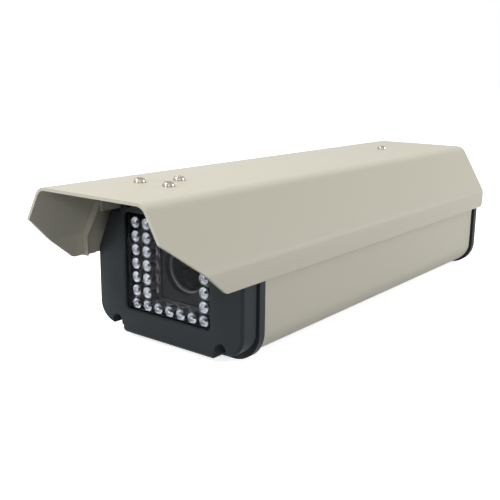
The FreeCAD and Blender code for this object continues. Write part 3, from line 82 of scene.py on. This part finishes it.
class Wire:
    """One output of a node, with arithmetic written as Python."""

    def __init__(self, network, socket):
        self.network = network
        self.socket = socket

    def maths(self, operation, left, right):
        return self.network.node("ShaderNodeMath", {"operation": operation}, [left, right])

    def __add__(self, other):
        return self.maths("ADD", self, other)

    def __radd__(self, other):
        return self.maths("ADD", other, self)

    def __sub__(self, other):
        return self.maths("SUBTRACT", self, other)

    def __rsub__(self, other):
        return self.maths("SUBTRACT", other, self)

    def __mul__(self, other):
        return self.maths("MULTIPLY", self, other)

    def __rmul__(self, other):
        return self.maths("MULTIPLY", other, self)

    def above(self, level):
        return self.maths("GREATER_THAN", self, level)

    def clipped(self):
        return self.maths("MINIMUM", self.maths("MAXIMUM", self, 0.0), 1.0)

    def swing(self, width):
        """Values from 0 to 1 moved to lie about 0 and scaled to a width."""
        return (self - 0.5) * width


class Network:
    """A node tree and the one method that adds its nodes."""

    def __init__(self, tree):
        self.tree = tree

    def link(self, target, value):
        if isinstance(value, Wire):
            self.tree.links.new(value.socket, target)
        else:
            target.default_value = value

    def node(self, kind, settings=None, values=(), output=0, **named):
        """Add a node with its settings, then the values or links of its sockets."""
        made = self.tree.nodes.new(kind)
        for label, value in (settings or {}).items():
            setattr(made, label, value)
        for index, value in enumerate(values):
            self.link(made.inputs[index], value)
        for label, value in named.items():
            self.link(made.inputs[label.replace("_", " ")], value)
        return None if output is None else Wire(self, made.outputs[output])

    def seen(self):
        """1 for rays from the camera, off a shine or through glass, 0 for the rest."""
        straight = self.node("ShaderNodeLightPath", output="Is Camera Ray")
        mirrored = self.node("ShaderNodeLightPath", output="Is Glossy Ray")
        through = self.node("ShaderNodeLightPath", output="Is Transmission Ray")
        return (straight + mirrored + through).clipped()


class Finish(Network):
    """A material for one kind of surface."""

    def __init__(self, name, **constants):
        self.material = bpy.data.materials.new(name)
        self.material.use_nodes = True
        super().__init__(self.material.node_tree)
        self.shader = self.tree.nodes["Principled BSDF"]
        self.place = self.node("ShaderNodeTexCoord", output="Object")
        for label, value in constants.items():
            self.set(label.replace("_", " "), value)

    def set(self, label, value):
        self.link(self.shader.inputs[label], value)

    def noise(self, scale, detail=2.0, roughness=0.5, stretch=(1.0, 1.0, 1.0)):
        """Noise of a number of lumps per metre, with finer lumps as the detail rises."""
        spot = self.node("ShaderNodeMapping", values=[self.place], Scale=stretch)
        return self.node("ShaderNodeTexNoise", output="Fac", Vector=spot, Scale=scale,
                         Detail=detail, Roughness=roughness)

    def cells(self, scale):
        """Distance from the middles of scattered cells, a number of them per metre."""
        return self.node("ShaderNodeTexVoronoi", output="Distance", Vector=self.place, Scale=scale)

    def bands(self, direction, scale, distortion):
        """Even bands stacked along an axis."""
        return self.node("ShaderNodeTexWave", {"wave_type": "BANDS", "bands_direction": direction},
                         output="Fac", Vector=self.place, Scale=scale, Distortion=distortion)

    def blend(self, factor, low, high):
        """A colour between two colours."""
        mixed = self.node("ShaderNodeMix", {"data_type": "RGBA"}, output=MIX_COLOUR_RESULT)
        sockets = mixed.socket.node.inputs
        self.link(sockets[MIX_FACTOR], factor)
        self.link(sockets[MIX_FIRST_COLOUR], low)
        self.link(sockets[MIX_SECOND_COLOUR], high)
        return mixed

    def relief(self, height, distance):
        """Bumps in the surface, as high as a distance where the height is 1."""
        bump = self.node("ShaderNodeBump", output="Normal", Strength=1.0, Distance=distance,
                         Height=height)
        self.set("Normal", bump)


def shade(colour, factor):
    """A colour made darker or lighter by a factor."""
    return tuple(min(channel * factor, 1.0) for channel in colour[:3]) + (1.0,)


def sheet_rgb(red, green, blue):
    """A colour written as the eye sees it, from 0 to 255, as linear light."""
    linear = []
    for channel in (red, green, blue):
        level = channel / 255
        linear.append(level / 12.92 if level <= 0.04045 else ((level + 0.055) / 1.055) ** 2.4)
    return tuple(linear) + (1.0,)


# Materials

def powder_coat(name, colour, grain=1400.0, sheen=0.2):
    """Sprayed and baked paint: a fine dimpled skin, nearly even in colour."""
    finish = Finish(name, Specular_IOR_Level=sheen)
    cloud = finish.noise(9.0, 3.0)
    fleck = finish.noise(900.0, 2.0)
    tone = cloud.swing(0.06) + fleck.swing(0.03) + 0.5
    finish.set("Base Color", finish.blend(tone.clipped(), shade(colour, 0.94), shade(colour, 1.06)))
    finish.set("Roughness", finish.noise(60.0, 3.0).swing(0.12) + 0.5)
    dimples = finish.noise(grain, 2.0, 0.4) * 0.7 + finish.noise(grain * 0.3, 2.0) * 0.6
    finish.relief(dimples, 0.03 * MM)
    return finish.material


def plated_steel(name, colour, roughness=0.32, stretch=(1.0, 1.0, 1.0)):
    """Bright metal with faint brushing and clouding."""
    finish = Finish(name, Metallic=1.0)
    brushing = finish.noise(700.0, 3.0, 0.6, stretch)
    cloud = finish.noise(45.0, 3.0)
    tone = brushing.swing(0.5) + cloud.swing(0.5) + 0.5
    finish.set("Base Color", finish.blend(tone.clipped(), shade(colour, 0.86), shade(colour, 1.08)))
    finish.set("Roughness", cloud.swing(0.2) + brushing.swing(0.12) + roughness)
    finish.relief(brushing, 0.01 * MM)
    return finish.material


def moulded(name, colour, roughness=0.5, grain=1800.0, specular=0.4):
    """A smooth-moulded surface, of plastic, rubber or a coated can, with a fine even grain."""
    finish = Finish(name, Specular_IOR_Level=specular)
    cloud = finish.noise(30.0, 3.0)
    finish.set("Base Color", finish.blend(cloud, shade(colour, 0.85), shade(colour, 1.12)))
    finish.set("Roughness", cloud.swing(0.15) + roughness)
    finish.relief(finish.noise(grain, 2.0, 0.6), 0.02 * MM)
    return finish.material


def circuit_board(name, mask, trace, gloss=0.34, lacquer=0.0):
    """Solder mask over faint tracks and pads, with a clear lacquer on top where a board has one."""
    finish = Finish(name, Specular_IOR_Level=0.6, Coat_Weight=lacquer, Coat_IOR=2.2,
                    Coat_Roughness=0.03)
    tracks = finish.node("ShaderNodeTexBrick",
                         {"offset": 0.37, "squash": 1.6, "squash_frequency": 3},
                         output="Fac", Vector=finish.place, Scale=160.0, Mortar_Size=0.012,
                         Mortar_Smooth=0.2, Brick_Width=1.7, Row_Height=0.5)
    pads = 1 - finish.cells(220.0).above(0.16)
    marks = (tracks * 0.7 + pads * 0.5).clipped()
    finish.set("Base Color", finish.blend(marks, mask, trace))
    finish.set("Roughness", finish.noise(80.0).swing(0.06) + gloss)
    finish.relief(marks, 0.004 * MM)
    return finish.material


def window_pane(name):
    """Clear flat glass with a faint grey cast."""
    finish = Finish(name, Alpha=0.10, IOR=1.5)
    dust = finish.noise(260.0, 3.0)
    finish.set("Base Color", finish.blend(dust, sheet_rgb(24, 26, 30), sheet_rgb(40, 42, 46)))
    finish.set("Roughness", dust.swing(0.04) + 0.05)
    return finish.material


def clear_epoxy(name):
    """Water-clear resin of the lamp domes."""
    finish = Finish(name, IOR=1.55, Coat_Weight=0.8, Coat_Roughness=0.02)
    cloud = finish.noise(400.0, 2.0)
    finish.set("Base Color", finish.blend(cloud, sheet_rgb(52, 55, 62), sheet_rgb(74, 77, 84)))
    finish.set("Roughness", cloud.swing(0.06) + 0.06)
    finish.set("Alpha", cloud.swing(0.08) + 0.22)
    return finish.material


def bright_cup(name):
    """Silvered surface inside a lamp, with a painted glow that stands in for the light it reflects."""
    # Painted light: the cup emits a glow of its own, in place of the bright reflections that light on
    # its dome would give.
    finish = Finish(name, Metallic=0.95, Emission_Strength=0.20)
    cloud = finish.noise(900.0, 3.0)
    finish.set("Base Color", finish.blend(cloud, sheet_rgb(218, 221, 230), sheet_rgb(246, 249, 254)))
    painted_glow = finish.blend(cloud, sheet_rgb(196, 199, 208), sheet_rgb(238, 242, 250))
    finish.set("Emission Color", painted_glow)
    finish.set("Roughness", cloud.swing(0.1) + 0.20)
    finish.relief(cloud, 0.02 * MM)
    return finish.material


def wound_wire(name, colour):
    """Close turns of enamelled wire under a thin varnish."""
    finish = Finish(name, Specular_IOR_Level=0.6)
    turns = finish.bands("Z", 260.0, 0.6)
    finish.set("Base Color", finish.blend(turns, shade(colour, 0.5), shade(colour, 1.2)))
    finish.set("Roughness", finish.noise(90.0).swing(0.1) + 0.4)
    finish.relief(turns, 0.1 * MM)
    return finish.material


def stacked_sheets(name, colour):
    """The edges of varnished core sheets."""
    finish = Finish(name, Metallic=0.6)
    leaves = finish.bands("Y", 320.0, 0.2)
    finish.set("Base Color", finish.blend(leaves, shade(colour, 0.6), shade(colour, 1.3)))
    finish.set("Roughness", finish.noise(70.0).swing(0.2) + 0.5)
    finish.relief(leaves, 0.06 * MM)
    return finish.material


CREAM = sheet_rgb(207, 203, 187)
CHARCOAL = sheet_rgb(57, 61, 64)
BRUSHED_ACROSS = (0.1, 1.0, 1.0)

COATS = {
    "sunshield_paint": lambda name: powder_coat(name, CREAM),
    "body_paint": lambda name: powder_coat(name, shade(CREAM, 0.97)),
    "front_paint": lambda name: powder_coat(name, CHARCOAL, grain=1100.0, sheen=0.08),
    "bracket_steel": lambda name: powder_coat(name, shade(CREAM, 0.95)),
    "zinc_steel": lambda name: plated_steel(name, sheet_rgb(196, 196, 190)),
    "screw_steel": lambda name: plated_steel(name, sheet_rgb(172, 166, 158)),
    "brass": lambda name: plated_steel(name, sheet_rgb(214, 178, 104), 0.3),
    "seal_rubber": lambda name: moulded(name, sheet_rgb(26, 26, 28), 0.7, 900.0, 0.3),
    "window_glass": window_pane,
    "lamp_epoxy": clear_epoxy,
    "lamp_cup": bright_cup,
    "lamp_sleeve": lambda name: plated_steel(name, sheet_rgb(158, 161, 171), 0.14),
    "board_black": lambda name: circuit_board(name, sheet_rgb(13, 14, 17), sheet_rgb(20, 22, 26),
                                              gloss=0.05, lacquer=1.0),
    "lens_velvet": lambda name: moulded(name, sheet_rgb(52, 56, 60), 0.6, 1200.0, 0.12),
    "board_green": lambda name: circuit_board(name, sheet_rgb(22, 84, 48), sheet_rgb(48, 122, 72)),
    "black_plastic": lambda name: moulded(name, sheet_rgb(24, 25, 28)),
    "ring_plastic": lambda name: moulded(name, sheet_rgb(160, 160, 162), 0.4),
    "gland_plastic": lambda name: moulded(name, sheet_rgb(74, 75, 78), 0.45),
    "tray_steel": lambda name: plated_steel(name, sheet_rgb(190, 191, 188), 0.36, BRUSHED_ACROSS),
    "core_steel": lambda name: stacked_sheets(name, sheet_rgb(92, 94, 98)),
    "winding_copper": lambda name: wound_wire(name, sheet_rgb(176, 96, 48)),
    "can_aluminium": lambda name: moulded(name, sheet_rgb(34, 38, 92), 0.35, 2400.0, 0.6),
    "sink_aluminium": lambda name: plated_steel(name, sheet_rgb(110, 111, 115), 0.42),
    "terminal_green": lambda name: moulded(name, sheet_rgb(40, 132, 78), 0.38, 2000.0, 0.5),
}

materials = {name: make(name) for name, make in COATS.items()}
slot_of = {row["node"]: row["material_slot"] for row in frame["record"]["subparts"]}


# Pieces

SMOOTH_ANGLE = math.radians(35.0)
BEVEL_ANGLE = math.radians(30.0)
FLAT_ANGLE = math.radians(0.5)
TRIANGLE_JOIN = 0.002 * MM
POLE_JOIN = 0.001 * MM
ROUND_SIDES = 24
CUP_SIDES = 20
POST_SIDES = 8


def finish_piece(bm, name, slot, body=HOUSING, nodes=(), coat=None):
    """Turn a bmesh into a piece with the material of its coat or slot, put it on its body and hide the
    nodes it stands for.
    """
    mesh = bpy.data.meshes.new(name)
    for face in bm.faces:
        face.smooth = True
    bm.to_mesh(mesh)
    bm.free()
    mesh.set_sharp_from_angle(angle=SMOOTH_ANGLE)
    mesh.materials.append(materials[coat or slot])
    piece = bpy.data.objects.new(name, mesh)
    bpy.context.scene.collection.objects.link(piece)
    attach(piece, body)
    if nodes:
        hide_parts(*nodes)
    return piece


def merged_copy(node):
    """A CAD node's mesh with its loose triangles joined up and flat areas made whole."""
    bm = bmesh.new()
    bm.from_mesh(frame["nodes"][node].data)
    bmesh.ops.remove_doubles(bm, verts=bm.verts, dist=TRIANGLE_JOIN)
    bmesh.ops.dissolve_limit(bm, angle_limit=FLAT_ANGLE, verts=bm.verts, edges=bm.edges)
    return bm


def dressed(node, edge, body=HOUSING, coat=None):
    """The CAD node's own shape with its edges rounded."""
    piece = finish_piece(merged_copy(node), node + "_shell", slot_of[node], body, [node], coat)
    bevel = piece.modifiers.new("edges", "BEVEL")
    bevel.width = edge
    bevel.segments = 2
    bevel.limit_method = "ANGLE"
    bevel.angle_limit = BEVEL_ANGLE
    bevel.harden_normals = True


def solid_boxes(node):
    """Lowest and highest corners of each separate solid of a node."""
    bm = merged_copy(node)
    left = set(bm.verts)
    boxes = []
    while left:
        reach = [left.pop()]
        island = list(reach)
        while reach:
            for edge in reach.pop().link_edges:
                for vert in edge.verts:
                    if vert in left:
                        left.remove(vert)
                        island.append(vert)
                        reach.append(vert)
        low = Vector([min(vert.co[axis] for vert in island) for axis in range(3)])
        high = Vector([max(vert.co[axis] for vert in island) for axis in range(3)])
        boxes.append((low, high))
    bm.free()
    return sorted(boxes, key=lambda corners: [round(value, 5) for value in corners[0]])


def lathe(bm, profile, place, axis, sides=ROUND_SIDES):
    """Turn a profile of (distance along the axis, radius) about an axis through a place."""
    outwards = axis.orthogonal().normalized()
    verts = [bm.verts.new(place + axis * along + outwards * radius) for along, radius in profile]
    edges = [bm.edges.new(pair) for pair in zip(verts, verts[1:])]
    bmesh.ops.spin(bm, geom=verts + edges, cent=place, axis=axis, angle=2 * math.pi,
                   steps=sides, use_merge=True)
    faced = [vert for vert in bm.verts if vert.link_faces]
    bmesh.ops.remove_doubles(bm, verts=faced, dist=POLE_JOIN)


def closed(bm):
    """Join the poles' doubles, drop loose points and turn every face outwards."""
    bmesh.ops.remove_doubles(bm, verts=bm.verts, dist=POLE_JOIN)
    loose = [vert for vert in bm.verts if not vert.link_faces]
    bmesh.ops.delete(bm, geom=loose, context="VERTS")
    bmesh.ops.recalc_face_normals(bm, faces=bm.faces)
    return bm


def quarter_arc(steps):
    """A quarter circle of radius 1 from its pole to its rim, as (drop from the pole, reach)."""
    turns = [math.pi / 2 * step / steps for step in range(steps + 1)]
    return [(1 - math.cos(turn), math.sin(turn)) for turn in turns]


# Infrared lamps. Their profiles are (distance from the dome's tip, radius).

CUP_MOUTH = 2.7 * MM
CUP_FLOOR = 5.8 * MM
CUP_WALL = 0.3 * MM


def dome_profile(radius, length):
    """A round dome, a straight barrel and a flange at the foot."""
    flange = radius + 0.4 * MM
    flange_front = length - 1.0 * MM
    arc = [(radius * drop, radius * reach) for drop, reach in quarter_arc(7)]
    return arc + [(flange_front, radius), (flange_front, flange), (length, flange), (length, 0.0)]


def cup_profile(radius):
    """A thin round bowl that opens towards the tip."""
    floor_radius = 0.8 * MM
    mouth_radius = radius * 0.88
    side_wall = 0.1 * MM
    bowl = [(CUP_FLOOR - (CUP_FLOOR - CUP_MOUTH) * drop,
             floor_radius + (mouth_radius - floor_radius) * reach) for drop, reach in quarter_arc(5)]
    back = [(along + CUP_WALL, reach + side_wall) for along, reach in reversed(bowl)]
    return [(CUP_FLOOR, 0.0)] + bowl + back + [(CUP_FLOOR + CUP_WALL, 0.0)]


def sleeve_profile(radius, length):
    """A metal sleeve round the cup, with a collar and a thick floor at its foot."""
    foot = length - 0.6 * MM
    floor = foot - 0.6 * MM
    collar = radius + 0.2 * MM
    collar_front = foot - 0.8 * MM
    slope_front = collar_front - 0.3 * MM
    rim = CUP_MOUTH - 0.1 * MM
    inside = radius * 0.92
    return [(foot, 0.0), (foot, collar), (collar_front, collar), (slope_front, radius * 0.95),
            (rim, radius * 0.96), (rim, inside), (floor, inside), (floor, 0.0)]


def die_profile():
    """The dark post on the cup's floor that carries the die, wider at its foot."""
    top = CUP_FLOOR - 1.7 * MM
    shoulder = CUP_FLOOR - 1.6 * MM
    foot = CUP_FLOOR - 0.1 * MM
    root = CUP_FLOOR + 0.2 * MM
    return [(top, 0.0), (shoulder, 0.9 * MM), (foot, 1.3 * MM), (root, 0.0)]


def make_lamps():
    """Clear domes over bright cups, one for each lamp of the board."""
    domes = bmesh.new()
    cups = bmesh.new()
    dies = bmesh.new()
    sleeves = bmesh.new()
    for low, high in solid_boxes("infrared_lamps"):
        radius = (high.x - low.x) / 2
        length = high.y - low.y
        tip = Vector(((low.x + high.x) / 2, low.y, (low.z + high.z) / 2))
        lathe(domes, dome_profile(radius, length), tip, TO_REAR)
        lathe(cups, cup_profile(radius), tip, TO_REAR, CUP_SIDES)
        lathe(sleeves, sleeve_profile(radius, length), tip, TO_REAR, CUP_SIDES)
        lathe(dies, die_profile(), tip, TO_REAR, POST_SIDES)
    finish_piece(closed(domes), "lamp_domes", "lamp_epoxy", nodes=["infrared_lamps"])
    finish_piece(closed(cups), "lamp_cups", "screw_steel", coat="lamp_cup")
    finish_piece(closed(dies), "lamp_dies", "black_plastic")
    finish_piece(closed(sleeves), "lamp_sleeves", "screw_steel", coat="lamp_sleeve")


# Screws

def cross_recess(bm, crown, place, axis, reach, half_width, depth):
    """Close a screw head's crown with a cross-shaped well that narrows to its floor."""
    narrowing = 0.7
    turn = axis.to_track_quat("Z", "Y").to_matrix()
    quarter = [(reach, -half_width), (reach, half_width), (half_width, half_width)]
    rim = []
    for step in range(4):
        spin = Matrix.Rotation(math.pi / 2 * step, 3, "Z")
        rim += [bm.verts.new(place + turn @ spin @ Vector((u, v, 0.0))) for u, v in quarter]
    rim_edges = [bm.edges.new(pair) for pair in zip(rim, rim[1:] + rim[:1])]
    bmesh.ops.bridge_loops(bm, edges=rim_edges + crown)
    well = bm.faces.new(rim)
    grown = bmesh.ops.extrude_face_region(bm, geom=[well])
    floor = [item for item in grown["geom"] if isinstance(item, bmesh.types.BMVert)]
    bmesh.ops.translate(bm, verts=floor, vec=-axis * depth)
    bmesh.ops.scale(bm, verts=floor, vec=(narrowing, narrowing, narrowing),
                    space=Matrix.Translation(-(place - axis * depth)))
    bmesh.ops.delete(bm, geom=[well], context="FACES_ONLY")


def pan_screw(bm, place, axis, head, height, shank, grip):
    """A domed screw whose head stands on a place and points along an axis."""
    crown = head * 0.66
    dome_height = height * 0.75
    profile = [(height - dome_height * drop, crown + (head - crown) * reach)
               for drop, reach in quarter_arc(5)]
    profile += [(0.0, head), (0.0, shank), (-grip, shank), (-grip, 0.0)]
    before = set(bm.edges)
    lathe(bm, profile, place, axis)
    top = place + axis * height
    level = 0.01 * MM
    ring = [edge for edge in bm.edges if edge not in before and edge.is_boundary
            and all(abs((vert.co - top).dot(axis)) < level for vert in edge.verts)
            and all((vert.co - top).length < head for vert in edge.verts)]
    cross_recess(bm, ring, top, axis, reach=crown * 0.8, half_width=head * 0.13,
                 depth=height * 0.55)


def make_screws(node, axis, head, height, shank):
    """Domed cross-head screws in place of a node's plain ones."""
    bm = bmesh.new()
    along = max(range(3), key=lambda index: abs(axis[index]))
    for low, high in solid_boxes(node):
        end = high[along] if axis[along] > 0 else low[along]
        place = (low + high) / 2
        place[along] = end - axis[along] * height
        grip = (high - low)[along] - height
        pan_screw(bm, place, axis, head, height, shank, grip)
    finish_piece(closed(bm), node + "_turned", slot_of[node], nodes=[node])


# Head radius, head height and shank radius, the same as the nodes' own.
CASE_SCREW = (3.6 * MM, 2.6 * MM, 2.0 * MM)
BOARD_SCREW = (2.75 * MM, 2.0 * MM, 1.5 * MM)

CAST_EDGE = 0.35 * MM
TURNED_EDGE = 0.3 * MM
TRAY_EDGE = 0.25 * MM
SMALL_EDGE = 0.2 * MM
THIN_EDGE = 0.1 * MM

for name, node in frame["nodes"].items():
    node.data.materials.clear()
    node.data.materials.append(materials[slot_of[name]])

for name in ("sunshield", "body", "front_bezel", "front_ring", "rear_cap"):
    dressed(name, CAST_EDGE)
for name in ("sunshield_front_bracket", "sunshield_rear_bracket", "sunshield_stiffener_left",
             "sunshield_stiffener_right", "gland_bodies", "gland_dome_nuts", "entry_lock_nuts",
             "blanking_plug", "sunshield_nuts", "lens_ring", "earth_washer", "front_glass",
             "terminal_block", "transformer_winding", "heat_sink", "supply_board_pillars"):
    dressed(name, SMALL_EDGE)
dressed("lens_shroud", SMALL_EDGE, coat="lens_velvet")
dressed("glass_retainer", THIN_EDGE, coat="black_plastic")
dressed("camera_tray", TRAY_EDGE, TRAY)
dressed("camera_screw", TURNED_EDGE, TRAY)
dressed("tray_lock_screws", TURNED_EDGE, TRAY)
make_screws("sunshield_screws", UPWARDS, *CASE_SCREW)
make_screws("bezel_screws", TO_FRONT, *CASE_SCREW)
make_screws("rear_cap_screws", TO_REAR, *CASE_SCREW)
make_screws("earth_screw", TO_REAR, *CASE_SCREW)
make_screws("lamp_board_screws", TO_REAR, *BOARD_SCREW)
make_screws("supply_board_screws", UPWARDS, *BOARD_SCREW)
make_lamps()


# Stage, light and camera

FLOOR_REACH = 6.0
FLOOR_GAP = 0.2 * MM
FLOOR_GLOW = 0.74
LOW_SKY = 0.07
HIGH_SKY = 0.45
SKY_AT_HORIZON = 0.25
SKY_RISE = 1.6

HOUSING_MIDDLE = (0, 0, 0.05)
NEAR_WALL = (0, 0.05, 0.06)
WINDOW = (0, -0.15, 0.05)
COOL = (0.97, 0.98, 1.0)


def make_camera():
    """The photograph's view, as fitted to the sunshield's corners in it."""
    picture_width = 500
    focal_pixels = 758.6
    azimuth = math.radians(38.06)
    elevation = math.radians(13.47)
    roll = math.radians(0.60)
    beside = 0.3186
    before = 0.2639
    above = 0.1721
    hood_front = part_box("sunshield")[0].y
    place = Vector((beside, hood_front - before, above))
    forward = Vector((-math.sin(azimuth) * math.cos(elevation),
                      math.cos(azimuth) * math.cos(elevation), -math.sin(elevation)))
    level = Vector((math.cos(azimuth), math.sin(azimuth), 0.0))
    upright = level.cross(forward)
    right = level * math.cos(roll) + upright * math.sin(roll)
    up = upright * math.cos(roll) - level * math.sin(roll)
    data = bpy.data.cameras.new("photo_view")
    data.sensor_width = 36.0
    data.lens = focal_pixels / picture_width * data.sensor_width
    data.clip_start = 0.01
    camera = bpy.data.objects.new("photo_view", data)
    axes = Matrix((right, up, -forward)).transposed()
    camera.matrix_world = Matrix.Translation(place) @ axes.to_4x4()
    bpy.context.scene.collection.objects.link(camera)
    bpy.context.scene.camera = camera


def area_lamp(name, place, target, width, watts, colour=(1.0, 1.0, 1.0)):
    """A round lamp that shines from a place towards a target."""
    data = bpy.data.lights.new(name, "AREA")
    data.shape = "DISK"
    data.size = width
    data.energy = watts
    data.color = colour
    lamp = bpy.data.objects.new(name, data)
    way = Vector(target) - Vector(place)
    turn = way.to_track_quat("-Z", "Y").to_matrix().to_4x4()
    lamp.matrix_world = Matrix.Translation(place) @ turn
    bpy.context.scene.collection.objects.link(lamp)


def make_floor():
    """A floor that keeps a soft shadow and is clear from below.

    It is white to the camera, in a shine and through glass, and dim grey to all other light.
    """
    finish = Finish("floor_paper", Roughness=0.9, Specular_IOR_Level=0.1,
                    Emission_Strength=FLOOR_GLOW)
    cloud = finish.noise(3.0)
    seen = finish.seen()
    pale = finish.blend(cloud, sheet_rgb(240, 240, 240), sheet_rgb(246, 246, 246))
    grey = finish.blend(cloud, sheet_rgb(84, 84, 84), sheet_rgb(90, 90, 90))
    finish.set("Base Color", finish.blend(seen, grey, pale))
    finish.set("Emission Color", finish.blend(seen, sheet_rgb(44, 50, 58), WHITE))
    paper = Wire(finish, finish.shader.outputs["BSDF"])
    under = finish.node("ShaderNodeNewGeometry", output="Backfacing")
    clear = finish.node("ShaderNodeBsdfTransparent")
    finish.link(finish.tree.nodes["Material Output"].inputs["Surface"],
                finish.node("ShaderNodeMixShader", values=[under, paper, clear]))

    bm = bmesh.new()
    bmesh.ops.create_grid(bm, x_segments=1, y_segments=1, size=FLOOR_REACH)
    mesh = bpy.data.meshes.new("floor")
    bm.to_mesh(mesh)
    bm.free()
    mesh.materials.append(finish.material)
    floor = bpy.data.objects.new("floor", mesh)
    floor.location.z = cad_box[0][2] - FLOOR_GAP
    bpy.context.scene.collection.objects.link(floor)


def make_sky():
    """A sky that is dim and brightest above, and white to the camera, in a shine and through glass."""
    world = bpy.data.worlds.new("studio")
    bpy.context.scene.world = world
    world.use_nodes = True
    world.node_tree.nodes.clear()
    sky = Network(world.node_tree)
    way = sky.node("ShaderNodeTexCoord", output="Generated")
    height = sky.node("ShaderNodeSeparateXYZ", values=[way], output="Z")
    low, high, plain = [sky.node("ShaderNodeBackground", Color=WHITE, Strength=strength)
                        for strength in (LOW_SKY, HIGH_SKY, 1.0)]
    share = (height * SKY_RISE + SKY_AT_HORIZON).clipped()
    dim = sky.node("ShaderNodeMixShader", values=[share, low, high])
    shown = sky.node("ShaderNodeMixShader", values=[sky.seen(), dim, plain])
    sky.node("ShaderNodeOutputWorld", values=[shown], output=None)


make_camera()
make_floor()
make_sky()
area_lamp("overhead", (-0.80, -0.85, 1.45), HOUSING_MIDDLE, width=0.9, watts=20.5)
area_lamp("near_side", (1.30, 1.20, 0.36), NEAR_WALL, width=0.4, watts=14.2)
area_lamp("front_soft", (-0.35, -1.30, 0.30), WINDOW, width=0.3, watts=3.6, colour=COOL)
area_lamp("lamp_glint", (0.95, -1.00, 0.50), WINDOW, width=0.2, watts=2.3)
area_lamp("low_glint", (1.20, -0.75, 0.14), WINDOW, width=0.22, watts=0.2)
bpy.context.scene.view_settings.view_transform = "Standard"
